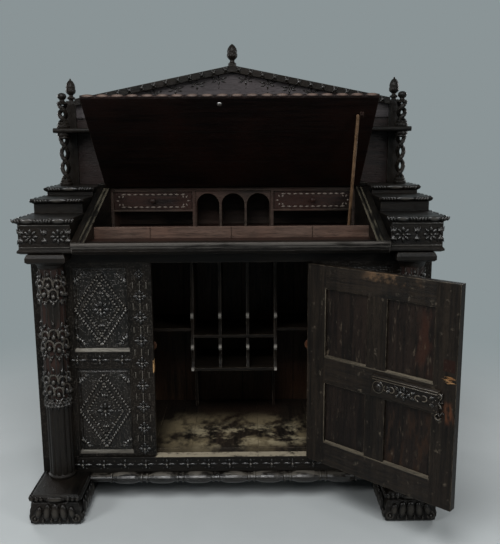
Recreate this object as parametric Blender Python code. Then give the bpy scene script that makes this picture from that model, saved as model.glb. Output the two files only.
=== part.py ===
import bpy
import bmesh
import math
from mathutils import Matrix, Vector

for old in list(bpy.data.objects):
    bpy.data.objects.remove(old, do_unlink=True)

# overall sizes in metres
WIDTH = 1.45
BACK_Y = 0.62
CASE_TOP = 0.930
SILL_Z = 0.167
GAP = 0.0003
RUN = 0.0015
SEAT = 0.0004

# step pedestals at both ends, front of the lowest block at Y = 0
CAP_OVER = 0.011
CAP_IN = 0.006
CAP_H = 0.017
BLOCK_OUT = WIDTH / 2 - CAP_OVER
BLOCK_W = 0.175
BLOCK_IN = BLOCK_OUT - BLOCK_W
STEP_RISE = (0.120, 0.052, 0.031)
STEP_Z = (CASE_TOP, CASE_TOP + STEP_RISE[0], CASE_TOP + sum(STEP_RISE[:2]), CASE_TOP + sum(STEP_RISE))
STEP_Y = (0.0, BACK_Y * 0.3113, BACK_Y * 0.5984)

# feet and plinth
FOOT_H = SILL_Z - 0.057
FOOT_FRONT = -0.112
FOOT_W = BLOCK_W
FOOT_OUT = BLOCK_OUT - 0.014
FOOT_IN = FOOT_OUT - FOOT_W
BOBBIN_R = 0.021
BOBBINS = 7

# case
CASE_X = FOOT_OUT
SIDE_T = 0.025
BACK_T = 0.025
FRAME_Y = 0.070
FRAME_T = 0.030
FLOOR_Z = SILL_Z + 0.016
FLOOR_T = 0.018
HEAD_Z = CASE_TOP - 0.043
MID_H = 0.060
MID_Z0 = SILL_Z + (HEAD_Z - SILL_Z) * 0.471
MID_Z1 = MID_Z0 + MID_H
PANEL_T = 0.014
PANEL_BACK = 0.008

# columns
COL_R = 0.0445
COL_X = BLOCK_OUT - BLOCK_W / 2 - 0.002
COL_Y = 0.048
REEDS = 12
REED_TOP = SILL_Z + (HEAD_Z - SILL_Z) * 0.31

# door opening between the two side frames
STILE_W = 0.083
OUTER_X = COL_X - 0.0625
OPEN_X = OUTER_X * 0.5036

# desk
CHEEK_IN = BLOCK_IN - 0.054
CHEEK_OUT = BLOCK_IN - CAP_IN - 0.001
LEDGE_Y0 = -0.035
LEDGE_Y1 = 0.020
BED_Z = CASE_TOP + 0.036
BED_T = 0.022
LEDGE_Z = BED_Z + 0.005
DIV_Y = 0.118
DIV_T = 0.015
DIV_H = 0.041

# lid
HINGE_Y = BACK_Y - 0.194
HINGE_Z = BED_Z + 0.176
LID_T = 0.016
LID_X = CHEEK_IN + 0.012
LID_LAND = 0.01855
SLOPE = math.atan2(HINGE_Z - LEDGE_Z - LID_LAND, HINGE_Y - LEDGE_Y0)
LID_L = (HINGE_Y - LEDGE_Y0) / math.cos(SLOPE)
LID_OPEN = math.radians(40.5)
LID_TURN = SLOPE + LID_OPEN

# stay under the lid
STAY_R = 0.0058
STAY_S = LID_L * 0.8238
STAY_X = CHEEK_IN - 0.049
STAY_DROP = STAY_R + 2 * GAP
STAY_LEAN = math.radians(32.0)
STAY_SEAT = 0.0007

# pigeonholes and drawers
PIG_Y = HINGE_Y + 0.024
PIG_TOP = HINGE_Z - 0.018
PIG_WALL = 0.010
MID_X = CHEEK_IN * 0.3216
BEARER_Z = BED_Z + (PIG_TOP - BED_Z) * 0.4114
DRAWER_TOP = PIG_TOP - 0.016
DRAWER_D = BACK_Y - BACK_T - PIG_Y - 0.025

# rack in the cupboard
RACK_Y = BACK_Y - 0.290
RACK_X = (-OPEN_X * 0.583, -OPEN_X * 0.194, OPEN_X * 0.194, OPEN_X * 0.583)
RACK_T = 0.012
RACK_LOW = FLOOR_Z + (HEAD_Z - FLOOR_Z) * 0.314
RACK_MID = FLOOR_Z + (HEAD_Z - FLOOR_Z) * 0.507
SHELF_T = 0.012
SIDE_SHELF_Z = RACK_MID + 0.020

# gallery
SHELF_Z0 = STEP_Z[3] + 0.208
SHELF_Z1 = SHELF_Z0 + 0.019
SHELF_Y0 = BACK_Y - 0.134
POST_X = BLOCK_OUT - 0.054
POST_W = 0.045
POST_TOP = SHELF_Z1 + 0.110
TWIST_X = BLOCK_OUT - 0.036
TWIST_Y = SHELF_Y0 + 0.036
TWIST_R = 0.0125
STRAND_R = 0.0088
SPINDLE_TOP = SHELF_Z1 + 0.110
PED_LOW = SHELF_Z1 + 0.040
PED_END = PED_LOW + 0.050
PED_PEAK = PED_END + (POST_X - POST_W / 2) * 0.2008
RAKE_T = 0.026

# door
DOOR_T = 0.028
DOOR_STILE = 0.078
DOOR_TOP = 0.080
DOOR_MID = (MID_Z0 - 0.036, MID_Z1)
DOOR_LOW = 0.085
MUNTIN = 0.074
DOOR_OPEN = math.radians(137.0)

HALF = GAP / 2
FRAME_B = FRAME_Y + FRAME_T
INNER_BACK = BACK_Y - BACK_T

TINTS = {
    "oak": (0.030, 0.018, 0.011, 1.0),
    "oak_inside": (0.085, 0.050, 0.028, 1.0),
    "oak_board": (0.060, 0.030, 0.018, 1.0),
    "oak_pale": (0.240, 0.130, 0.060, 1.0),
}


def material(name, tint):
    mat = bpy.data.materials.new(name)
    mat.use_nodes = True
    shader = mat.node_tree.nodes["Principled BSDF"]
    shader.inputs["Base Color"].default_value = TINTS[tint]
    shader.inputs["Roughness"].default_value = 0.45
    return mat


PIECES = []


def finish(name, bm, tint="oak", pivot=None, turn=None):
    # turn is a 4x4 matrix from the closed place to the place at rest
    if turn is not None:
        bmesh.ops.transform(bm, matrix=turn, verts=bm.verts)
    bmesh.ops.recalc_face_normals(bm, faces=bm.faces)
    mesh = bpy.data.meshes.new(name)
    bm.to_mesh(mesh)
    bm.free()
    obj = bpy.data.objects.new(name, mesh)
    bpy.context.collection.objects.link(obj)
    mesh.shade_smooth()
    mesh.set_sharp_from_angle(angle=math.radians(35))
    mesh.materials.append(material(name + "_wood", tint))
    obj["pivot"] = tuple(pivot) if pivot else (0.0, 0.0, 0.0)
    PIECES.append(obj)
    return obj


def loft(rings, closed=True):
    # closed tube through rings of equal length, with flat ends
    bm = bmesh.new()
    rows = [[bm.verts.new(p) for p in ring] for ring in rings]
    count = len(rings[0])
    for low, high in zip(rows, rows[1:]):
        for i in range(count):
            j = (i + 1) % count
            bm.faces.new((low[i], low[j], high[j], high[i]))
    if closed:
        bm.faces.new(list(reversed(rows[0])))
        bm.faces.new(rows[-1])
    return bm


def box(x0, x1, y0, y1, z0, z1, gap=HALF):
    x0, y0, z0 = x0 + gap, y0 + gap, z0 + gap
    x1, y1, z1 = x1 - gap, y1 - gap, z1 - gap
    rings = []
    for z in (z0, z1):
        rings.append([(x0, y0, z), (x1, y0, z), (x1, y1, z), (x0, y1, z)])
    return loft(rings)


def inset(points, gap=HALF):
    # polygon moved inward by the gap, counter-clockwise in and out
    area = 0.0
    for (ax, ay), (bx, by) in zip(points, points[1:] + points[:1]):
        area += ax * by - bx * ay
    if area < 0:
        points = points[::-1]
    out = []
    count = len(points)
    for i in range(count):
        a = Vector(points[i - 1])
        b = Vector(points[i])
        c = Vector(points[(i + 1) % count])
        u = (b - a).normalized()
        v = (c - b).normalized()
        nu = Vector((-u.y, u.x))
        nv = Vector((-v.y, v.x))
        m = (nu + nv) / (1.0 + nu.dot(nv))
        out.append(tuple(b + m * gap))
    return out


def prism(points, axis, low, high, gap=HALF):
    # outline in the two other axes, in the order XYZ, pushed along the axis
    flat = inset(points, gap)
    rings = []
    for t in (low + gap, high - gap):
        if axis == "X":
            rings.append([(t, a, b) for a, b in flat])
        elif axis == "Y":
            rings.append([(a, t, b) for a, b in flat])
        else:
            rings.append([(a, b, t) for a, b in flat])
    return loft(rings)


def stack(levels):
    # rectangles one above the other: x0, x1, y0, y1, z
    rings = []
    for x0, x1, y0, y1, z in levels:
        rings.append([(x0, y0, z), (x1, y0, z), (x1, y1, z), (x0, y1, z)])
    return loft(rings)


def lathe(profile, x, y, count=16):
    # radius and height pairs turned about a vertical line
    rings = []
    for r, z in profile:
        ring = []
        for i in range(count):
            a = 2 * math.pi * i / count
            ring.append((x + r * math.cos(a), y + r * math.sin(a), z))
        rings.append(ring)
    return loft(rings)


def as_object(bm):
    bmesh.ops.recalc_face_normals(bm, faces=bm.faces)
    mesh = bpy.data.meshes.new("tool")
    bm.to_mesh(mesh)
    bm.free()
    obj = bpy.data.objects.new("tool", mesh)
    bpy.context.collection.objects.link(obj)
    return obj


def combine(body, tools, operation):
    # body and tools are meshes in the making; the result is a new one
    base = as_object(body)
    cutters = [as_object(t) for t in tools]
    for cutter in cutters:
        mod = base.modifiers.new("step", "BOOLEAN")
        mod.operation = operation
        mod.solver = "EXACT"
        mod.object = cutter
    graph = bpy.context.evaluated_depsgraph_get()
    mesh = bpy.data.meshes.new_from_object(base.evaluated_get(graph))
    out = bmesh.new()
    out.from_mesh(mesh)
    for obj in [base] + cutters:
        bpy.data.objects.remove(obj, do_unlink=True)
    bpy.data.meshes.remove(mesh)
    bmesh.ops.remove_doubles(out, verts=out.verts, dist=0.00001)
    return out


def cut(body, *tools):
    return combine(body, tools, "DIFFERENCE")


def weld(body, *tools):
    return combine(body, tools, "UNION")


def mirror(bm, side):
    # modelled on the right, turned over for the left
    if side < 0:
        bmesh.ops.scale(bm, vec=(-1, 1, 1), verts=bm.verts)
        bmesh.ops.reverse_faces(bm, faces=bm.faces)
    return bm


SIDES = (("left", -1), ("right", 1))


def foot():
    swell = ((0.0, -0.010), (0.008, -0.002), (0.030, 0.0), (0.058, -0.001), (0.078, -0.007), (0.086, -0.014),
             (0.090, -0.006), (0.097, -0.001), (0.104, -0.003), (FOOT_H - HALF, -0.011))
    levels = []
    for z, grow in swell:
        levels.append((FOOT_IN - grow + HALF, FOOT_OUT + grow, FOOT_FRONT - grow, BACK_Y - 0.03, z))
    return stack(levels)


def column():
    # round shaft with a flat back, reeded below and fluted above, under a moulded capital
    top = STEP_Z[0]
    rows = ((FOOT_H + HALF, 0.0480, 0.0), (FOOT_H + 0.010, 0.0490, 0.0), (FOOT_H + 0.014, COL_R - 0.002, 0.0),
            (FOOT_H + 0.020, COL_R, 0.10), (REED_TOP - 0.012, COL_R, 0.10),
            (REED_TOP - 0.006, COL_R + 0.0015, 0.0), (REED_TOP + 0.006, COL_R + 0.0015, 0.0),
            (REED_TOP + 0.012, COL_R - 0.0015, -0.05),
            (HEAD_Z - 0.012, COL_R - 0.003, -0.05), (HEAD_Z - 0.006, COL_R - 0.001, 0.0),
            (HEAD_Z + 0.002, COL_R + 0.002, 0.0), (HEAD_Z + 0.010, 0.055, 0.0), (HEAD_Z + 0.016, 0.0595, 0.0))
    count = REEDS * 4
    flat = FRAME_Y - HALF
    rings = []
    for z, r, deep in rows:
        ring = []
        for i in range(count):
            a = 2 * math.pi * i / count
            wave = abs(math.cos(a * REEDS / 2)) if deep > 0 else 1 - abs(math.cos(a * REEDS / 2))
            s = math.sin(a)
            live = 1.0 if s < 0.2 else 0.0
            radius = r * (1 - abs(deep) * (1 - wave) * live)
            ring.append((COL_X + radius * math.cos(a), min(COL_Y + radius * s, flat), z))
        rings.append(ring)
    shaft = loft(rings)
    low = HEAD_Z + 0.012
    head = stack([(COL_X - 0.060, COL_X + 0.060, -0.012, flat, low),
                  (COL_X - 0.0675, COL_X + 0.0675, -0.018, flat, low + 0.006),
                  (COL_X - 0.0675, COL_X + 0.0675, -0.018, flat, top - 0.012),
                  (COL_X - 0.062, COL_X + 0.062, -0.013, flat, top - HALF)])
    return weld(shaft, head)


def step(index):
    # carved block with an under-moulding on the lowest one and a swelling cap on each
    z0 = STEP_Z[index] + HALF
    z1 = STEP_Z[index + 1] - HALF
    y = STEP_Y[index]
    c = z1 - CAP_H
    rows = []
    if index == 0:
        rows += [(-0.004, z0), (0.006, z0 + 0.005), (0.006, z0 + 0.011), (0.0, z0 + 0.018)]
    else:
        rows += [(0.0, z0)]
    rows += [(0.0, c), (0.004, c + 0.002), (0.009, c + 0.006), (CAP_OVER, c + 0.011), (CAP_OVER, c + 0.014),
             (0.006, z1)]
    levels = []
    for grow, z in rows:
        inner = min(grow, CAP_IN)
        levels.append((BLOCK_IN - inner + HALF, BLOCK_OUT + grow, y - grow, BACK_Y, z))
    return stack(levels)


for word, side in SIDES:
    finish("foot_" + word, mirror(foot(), side))
    finish("column_" + word, mirror(column(), side))
    for index in range(3):
        finish("step_%d_%s" % (index + 1, word), mirror(step(index), side))

# plinth: star-carved rail over a half-round bobbin moulding
bay = COL_X - 0.052
step_y = FRAME_Y - 0.010
pts = [(-CASE_X, FRAME_Y), (-bay, FRAME_Y), (-bay, step_y), (bay, step_y), (bay, FRAME_Y), (CASE_X, FRAME_Y),
       (CASE_X, FRAME_B), (-CASE_X, FRAME_B)]
finish("plinth_rail", prism(pts, "Z", FOOT_H, SILL_Z))


def bobbin():
    half = FOOT_IN - 0.002
    centre_y = FRAME_Y - 0.010
    centre_z = FOOT_H - BOBBIN_R - HALF
    marks = []
    pitch = 2 * half / (BOBBINS + 1)
    start = -BOBBINS * pitch / 2
    shape = ((-0.500, 0.62), (-0.455, 0.62), (-0.445, 0.84), (-0.405, 0.84), (-0.395, 0.62), (-0.350, 0.70),
             (-0.240, 0.93), (-0.110, 1.0), (0.110, 1.0), (0.240, 0.93), (0.350, 0.70), (0.395, 0.62),
             (0.405, 0.84), (0.445, 0.84), (0.455, 0.62))
    marks.append((-half, 0.62))
    for k in range(BOBBINS):
        middle = start + (k + 0.5) * pitch
        for offset, scale in shape:
            marks.append((middle + offset * pitch, scale))
    marks.append((half, 0.62))
    rings = []
    for x, scale in marks:
        ring = [(x, FRAME_B - HALF, centre_z + BOBBIN_R), (x, FRAME_B - HALF, centre_z - BOBBIN_R)]
        for i in range(9):
            a = -math.pi / 2 + math.pi * i / 8
            ring.append((x, centre_y - BOBBIN_R * 1.2 * scale * math.cos(a) - 0.003,
                         centre_z + BOBBIN_R * scale * math.sin(a)))
        rings.append(ring)
    return loft(rings)


finish("plinth_bobbin_moulding", bobbin())

# front: a joined frame at each side with two panels in it, and the frieze rail over all


def front_frame():
    body = box(OPEN_X, CASE_X, FRAME_Y, FRAME_B, SILL_Z, HEAD_Z)
    x0 = OPEN_X + STILE_W
    upper = box(x0, OUTER_X, FRAME_Y - 0.01, FRAME_B + 0.01, MID_Z1, HEAD_Z - 0.012, 0)
    lower = box(x0, OUTER_X, FRAME_Y - 0.01, FRAME_B + 0.01, SILL_Z + 0.012, MID_Z0, 0)
    return cut(body, upper, lower)


def front_panel(low, high):
    x0 = OPEN_X + STILE_W
    y0 = FRAME_B - PANEL_BACK - PANEL_T
    edge = 0.012
    rise = 0.004
    levels = ((GAP, y0 + PANEL_T), (GAP, y0), (edge, y0 - 0.001), (edge + 0.004, y0 - rise))
    rings = []
    for grow, y in levels:
        rings.append([(x0 + grow, y, low + grow), (OUTER_X - grow, y, low + grow),
                      (OUTER_X - grow, y, high - grow), (x0 + grow, y, high - grow)])
    return loft(rings)


for word, side in SIDES:
    finish("front_frame_" + word, mirror(front_frame(), side))
    finish("front_panel_upper_" + word, mirror(front_panel(MID_Z1, HEAD_Z - 0.012), side))
    finish("front_panel_lower_" + word, mirror(front_panel(SILL_Z + 0.012, MID_Z0), side))
    finish("case_side_" + word,
           mirror(box(CASE_X - SIDE_T, CASE_X, FRAME_B, INNER_BACK, FOOT_H, CASE_TOP), side))
finish("front_frieze_rail", box(-CASE_X, CASE_X, FRAME_Y, FRAME_B, HEAD_Z, CASE_TOP))

wide = CASE_X
narrow = CHEEK_OUT
finish("case_back", prism([(-wide, FOOT_H), (wide, FOOT_H), (wide, CASE_TOP), (narrow, CASE_TOP),
                           (narrow, HINGE_Z - 0.016), (-narrow, HINGE_Z - 0.016), (-narrow, CASE_TOP),
                           (-wide, CASE_TOP)], "Y", INNER_BACK, BACK_Y), "oak_inside")
ROOM_X = CASE_X - SIDE_T
finish("cupboard_floor", box(-ROOM_X, ROOM_X, FRAME_B, INNER_BACK, FLOOR_Z - FLOOR_T, FLOOR_Z), "oak_inside")

# rack: four uprights with scalloped front edges, a middle shelf halved over the inner pair, a low shelf
CEIL_Z = BED_Z - BED_T
RACK_MIDDLE = (RACK_Y + INNER_BACK) / 2


def scallop(z0, z1, deep, y, count=6):
    out = []
    for i in range(1, count):
        t = i / count
        out.append((y + deep * math.sin(math.pi * t) ** 0.8, z0 + (z1 - z0) * t))
    return out


def upright(index):
    x = RACK_X[index]
    outer = index in (0, 3)
    back = INNER_BACK
    cusps = (RACK_MID - 0.042, RACK_MID + 0.088)
    foot_z = RACK_LOW if outer else RACK_LOW + SHELF_T
    pts = []
    if outer:
        leg = back - 0.075
        pts += [(back, FLOOR_Z), (leg, FLOOR_Z), (leg, RACK_LOW - 0.05), (leg - 0.02, RACK_LOW - 0.012),
                (RACK_Y + 0.02, RACK_LOW - 0.006), (RACK_Y, foot_z)]
    else:
        pts += [(back, foot_z), (RACK_Y + 0.008, foot_z)]
    pts += scallop(foot_z, cusps[0], 0.022, RACK_Y)
    pts += [(RACK_Y, cusps[0])]
    arc = scallop(cusps[0], cusps[1], 0.024, RACK_Y, 8)
    if outer:
        pts += arc
    else:
        slot0 = RACK_MID - SHELF_T / 2
        slot1 = RACK_MID + SHELF_T / 2
        pts += [p for p in arc if p[1] < slot0 - 0.004]
        pts += [(RACK_Y + 0.017, slot0), (RACK_MIDDLE, slot0), (RACK_MIDDLE, slot1), (RACK_Y + 0.024, slot1)]
        pts += [p for p in arc if p[1] > slot1 + 0.004]
    pts += [(RACK_Y, cusps[1])]
    pts += scallop(cusps[1], CEIL_Z, 0.045, RACK_Y, 8)
    pts += [(RACK_Y + 0.012, CEIL_Z), (back, CEIL_Z)]
    return prism(pts, "X", x - RACK_T / 2, x + RACK_T / 2)


for index in range(4):
    finish("rack_upright_%d" % (index + 1), upright(index), "oak_inside")

end_x = RACK_X[3] - RACK_T / 2
notch = RACK_T / 2
front = RACK_Y + 0.024
pts = [(-end_x, front), (end_x, front), (end_x, INNER_BACK)]
for x in reversed(RACK_X[1:3]):
    pts += [(x + notch, INNER_BACK), (x + notch, RACK_MIDDLE)]
    pts += [(x - notch, RACK_MIDDLE), (x - notch, INNER_BACK)]
pts += [(-end_x, INNER_BACK)]
finish("rack_middle_shelf", prism(pts, "Z", RACK_MID - SHELF_T / 2, RACK_MID + SHELF_T / 2), "oak_inside")
finish("rack_low_shelf", box(-end_x, end_x, RACK_Y, INNER_BACK, RACK_LOW, RACK_LOW + SHELF_T), "oak_inside")
for word, side in SIDES:
    shelf = box(RACK_X[3] + RACK_T / 2, ROOM_X, RACK_Y + 0.03, INNER_BACK,
                SIDE_SHELF_Z, SIDE_SHELF_Z + SHELF_T)
    finish("side_shelf_" + word, mirror(shelf, side), "oak_inside")

# desk: moulded ledge, bed, sloping cheeks, well divider


def under_lid(y):
    return HINGE_Z - LID_T / math.cos(SLOPE) - (HINGE_Y - y) * math.tan(SLOPE)


y0 = LEDGE_Y0
finish("desk_front_ledge", prism([(LEDGE_Y1, CASE_TOP), (LEDGE_Y1, LEDGE_Z), (y0 + 0.003, LEDGE_Z),
                                  (y0, LEDGE_Z - 0.003), (y0, LEDGE_Z - 0.010), (y0 + 0.005, LEDGE_Z - 0.014),
                                  (y0 + 0.005, LEDGE_Z - 0.018), (y0 + 0.010, LEDGE_Z - 0.021),
                                  (y0 + 0.010, LEDGE_Z - 0.029), (y0 + 0.022, CASE_TOP)], "X",
                                 -CHEEK_OUT, CHEEK_OUT))
finish("desk_bed", box(-CHEEK_IN, CHEEK_IN, LEDGE_Y1, INNER_BACK, CEIL_Z, BED_Z), "oak_board")
nose = LEDGE_Y0 + 0.004
cheek = [(LEDGE_Y1, CASE_TOP), (INNER_BACK, CASE_TOP), (INNER_BACK, HINGE_Z - 0.016),
         (HINGE_Y, under_lid(HINGE_Y)), (nose, under_lid(nose)), (nose, LEDGE_Z), (LEDGE_Y1, LEDGE_Z)]
for word, side in SIDES:
    finish("cheek_" + word, mirror(prism(cheek, "X", CHEEK_IN, CHEEK_OUT), side))
pts = [(-CHEEK_IN, DIV_Y), (CHEEK_IN, DIV_Y), (CHEEK_IN, DIV_Y + DIV_T), (-CHEEK_IN, DIV_Y + DIV_T)]
divider = prism(pts, "Z", BED_Z, BED_Z + DIV_H)
slots = [box(x - 0.002, x + 0.002, DIV_Y - 0.01, DIV_Y + 0.004, BED_Z - 0.01, BED_Z + 0.1, 0)
         for x in (-CHEEK_IN * 0.59, 0.0, CHEEK_IN * 0.59)]
finish("well_divider", cut(divider, *slots), "oak_board")

# pigeonholes: case with two drawer bays over open slots, and an arcade of three arches between
BAY_X = CHEEK_IN - PIG_WALL
BACK_IN = INNER_BACK - 0.008


def pigeonhole_case():
    body = box(-CHEEK_IN, CHEEK_IN, PIG_Y - 0.006, INNER_BACK, BED_Z, PIG_TOP)
    f = PIG_Y - 0.05
    tools = [box(-MID_X + PIG_WALL / 2, MID_X - PIG_WALL / 2, f, BACK_IN, BED_Z - 0.02, PIG_TOP - 0.012, 0)]
    for side in (-1, 1):
        a, b = sorted((side * (MID_X + PIG_WALL / 2), side * BAY_X))
        tools.append(box(a, b, f, BACK_IN, BED_Z - 0.02, BEARER_Z, 0))
        tools.append(box(a, b, f, BACK_IN, BEARER_Z + 0.007, DRAWER_TOP + 0.001, 0))
    return cut(body, *tools)


def arcade():
    x1 = MID_X - PIG_WALL / 2 - GAP
    z1 = PIG_TOP - 0.012 - GAP
    wall = 0.008
    pitch = (2 * x1 + wall) / 3 - wall / 3
    body = box(-x1, x1, PIG_Y, BACK_IN - GAP, BED_Z + HALF, z1, 0)
    tools = []
    for k in (-1, 0, 1):
        c = k * (2 * x1 / 3)
        r = pitch / 2 - wall / 2
        spring = z1 - 0.010 - r
        pts = [(c - r, BED_Z - 0.02), (c + r, BED_Z - 0.02)]
        for i in range(13):
            a = math.pi * i / 12
            pts.append((c + r * math.cos(a), spring + r * math.sin(a)))
        tools.append(prism(pts, "Y", PIG_Y - 0.05, BACK_IN - 0.012, 0))
    return cut(body, *tools)


def drawer(side):
    a = MID_X + PIG_WALL / 2 + RUN
    b = BAY_X - RUN
    low = BEARER_Z + 0.007 + GAP
    body = box(a, b, PIG_Y, PIG_Y + DRAWER_D, low, DRAWER_TOP - GAP, 0)
    hollow = box(a + 0.008, b - 0.008, PIG_Y + 0.012, PIG_Y + DRAWER_D - 0.008,
                 low + 0.006, DRAWER_TOP + 0.05, 0)
    tray = cut(body, hollow)
    x = (a + b) / 2
    z = (low + DRAWER_TOP) / 2
    rings = []
    for r, y in ((0.0045, 0.004), (0.0045, -0.005), (0.0085, -0.009), (0.0105, -0.014), (0.0085, -0.019),
                 (0.003, -0.0215)):
        ring = []
        for i in range(12):
            t = 2 * math.pi * i / 12
            ring.append((x + r * math.cos(t), PIG_Y + y, z + r * math.sin(t)))
        rings.append(ring)
    return weld(tray, loft(rings))


finish("pigeonhole_case", pigeonhole_case(), "oak_board")
finish("pigeonhole_arcade", arcade(), "oak_board")
for word, side in SIDES:
    x = side * (MID_X + PIG_WALL / 2 + BAY_X) / 2
    finish("drawer_" + word, mirror(drawer(side), side), "oak_board", (x, PIG_Y, BEARER_Z + 0.007))

# fixed top behind the lid
TOP_T = 0.016
slant = TOP_T * math.tan(SLOPE) + 0.001
finish("top_board", prism([(HINGE_Y + GAP, HINGE_Z), (BACK_Y, HINGE_Z), (BACK_Y, HINGE_Z - TOP_T),
                           (HINGE_Y + GAP + slant, HINGE_Z - TOP_T)], "X", -CHEEK_OUT, CHEEK_OUT))

# gallery
PANEL_X = POST_X - POST_W / 2
PANEL_Y0 = BACK_Y - 0.035
PANEL_Y1 = BACK_Y - 0.020
BASE_Z = STEP_Z[3]


def post():
    h = POST_W / 2
    y = BACK_Y - h
    x = POST_X
    base = stack([(x - h + HALF, x + h, y - h + HALF, y + h, BASE_Z + HALF),
                  (x - h + HALF, x + h, y - h + HALF, y + h, POST_TOP - 0.012),
                  (x - h + 0.006, x + h - 0.006, y - h + 0.006, y + h - 0.006, POST_TOP)])
    acorn = [(0.010, -0.004), (0.010, 0.006), (0.017, 0.010), (0.017, 0.014), (0.009, 0.019), (0.009, 0.024),
             (0.018, 0.032), (0.0205, 0.038), (0.0205, 0.044), (0.0185, 0.048), (0.0195, 0.056),
             (0.0165, 0.068), (0.0105, 0.078), (0.004, 0.083), (0.003, 0.088), (0.001, 0.0895)]
    turned = lathe([(r, POST_TOP + z) for r, z in acorn], x, y, 14)
    return weld(base, turned)


def strand(phase, z0, z1, turns):
    count = 7
    steps = 20
    rings = []
    rise = (z1 - z0)
    for i in range(steps + 1):
        t = i / steps
        a = phase + 2 * math.pi * turns * t
        centre = Vector((TWIST_X + TWIST_R * math.cos(a), TWIST_Y + TWIST_R * math.sin(a), z0 + rise * t))
        sweep = TWIST_R * 2 * math.pi * turns
        along = Vector((-math.sin(a) * sweep, math.cos(a) * sweep, rise)).normalized()
        out = Vector((math.cos(a), math.sin(a), 0))
        side = along.cross(out).normalized()
        ring = []
        for k in range(count):
            b = 2 * math.pi * k / count
            ring.append(tuple(centre + (out * math.cos(b) + side * math.sin(b)) * STRAND_R))
        rings.append(ring)
    return loft(rings)


def twist(z0, z1, turns, ball):
    foot_p = [(0.0255, 0.0), (0.0265, 0.004), (0.0265, 0.010), (0.021, 0.014), (0.0235, 0.019),
              (0.0195, 0.024)]
    base = lathe([(r, z0 + HALF + z) for r, z in foot_p], TWIST_X, TWIST_Y, 16)
    if ball:
        head_p = [(0.0195, -0.018), (0.0225, -0.013), (0.012, -0.006), (0.009, 0.0), (0.015, 0.005),
                  (0.0185, 0.013), (0.0165, 0.021), (0.009, 0.026), (0.002, 0.0275)]
    else:
        head_p = [(0.0195, -0.024), (0.0235, -0.019), (0.021, -0.014), (0.0265, -0.010), (0.0265, -HALF)]
    head = lathe([(r, z1 + z) for r, z in head_p], TWIST_X, TWIST_Y, 16)
    low = z0 + foot_p[-1][1] - 0.006
    high = z1 + head_p[0][1] + 0.006
    return weld(base, head, strand(0.0, low, high, turns), strand(math.pi, low, high, turns))


for word, side in SIDES:
    finish("post_" + word, mirror(post(), side))
    finish("twist_column_" + word, mirror(twist(BASE_Z, SHELF_Z0, 1.5, False), side))
    finish("twist_spindle_" + word, mirror(twist(SHELF_Z1, SPINDLE_TOP, 1.0, True), side))

nose_y = SHELF_Y0
mid_z = (SHELF_Z0 + SHELF_Z1) / 2
thick = SHELF_Z1 - SHELF_Z0
pts = [(BACK_Y - POST_W, SHELF_Z0), (BACK_Y - POST_W, SHELF_Z1)]
for i in range(7):
    a = math.pi / 2 + math.pi * i / 6
    pts.append((nose_y + thick / 2 + thick / 2 * math.cos(a), mid_z + thick / 2 * math.sin(a)))
finish("gallery_shelf", prism(pts, "X", -BLOCK_OUT + 0.002, BLOCK_OUT - 0.002))
notch = CHEEK_OUT + GAP
pts = [(-PANEL_X, BASE_Z), (-notch, BASE_Z), (-notch, HINGE_Z), (notch, HINGE_Z), (notch, BASE_Z),
       (PANEL_X, BASE_Z), (PANEL_X, PED_LOW), (-PANEL_X, PED_LOW)]
finish("gallery_back_panel", prism(pts, "Y", PANEL_Y0, PANEL_Y1), "oak_board")
finish("pediment_panel", prism([(-PANEL_X, PED_LOW), (PANEL_X, PED_LOW), (PANEL_X, PED_END), (0.0, PED_PEAK),
                                (-PANEL_X, PED_END)], "Y", PANEL_Y0 - 0.006, PANEL_Y1))
t = RAKE_T / math.cos(math.atan2(PED_PEAK - PED_END, PANEL_X))
rake = prism([(-PANEL_X, PED_END), (0.0, PED_PEAK), (PANEL_X, PED_END), (PANEL_X, PED_END + t),
              (0.0, PED_PEAK + t), (-PANEL_X, PED_END + t)], "Y", PANEL_Y0 - 0.028, PANEL_Y1 + 0.010)
finish("pediment_moulding", rake)


def finial():
    z = PED_PEAK + t + 0.0008
    y = (PANEL_Y0 + PANEL_Y1) / 2 - 0.009
    profile = [(0.017, -0.001), (0.017, 0.008), (0.010, 0.013), (0.009, 0.020), (0.0185, 0.030),
               (0.0215, 0.036), (0.0215, 0.043), (0.0195, 0.047), (0.0205, 0.056), (0.017, 0.067),
               (0.010, 0.077), (0.004, 0.082), (0.001, 0.0835)]
    seat = 0.018 * (PED_PEAK - PED_END) / PANEL_X
    body = lathe([(r, z + h - (seat if h < 0 else 0.0)) for r, h in profile], 0.0, y, 14)
    roof = prism([(-0.1, PED_PEAK + t - 0.1 * (PED_PEAK - PED_END) / PANEL_X - 0.05),
                  (0.1, PED_PEAK + t - 0.1 * (PED_PEAK - PED_END) / PANEL_X - 0.05),
                  (0.1, PED_PEAK + t - 0.1 * (PED_PEAK - PED_END) / PANEL_X), (0.0, PED_PEAK + t),
                  (-0.1, PED_PEAK + t - 0.1 * (PED_PEAK - PED_END) / PANEL_X)], "Y", y - 0.1, y + 0.1, -GAP)
    return cut(body, roof)


finish("finial_centre", finial())

# lid, made closed and turned up about its rear top edge
lid_axis = Vector((0.0, HINGE_Y, HINGE_Z))


def about(point, axis, angle):
    return (Matrix.Translation(point) @ Matrix.Rotation(angle, 4, axis) @ Matrix.Translation(-Vector(point)))


along = Vector((0.0, -math.cos(SLOPE), -math.sin(SLOPE)))
below = Vector((0.0, math.sin(SLOPE), -math.cos(SLOPE)))


def on_lid(x, s, n):
    return lid_axis + Vector((x, 0, 0)) + along * s + below * n


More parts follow.
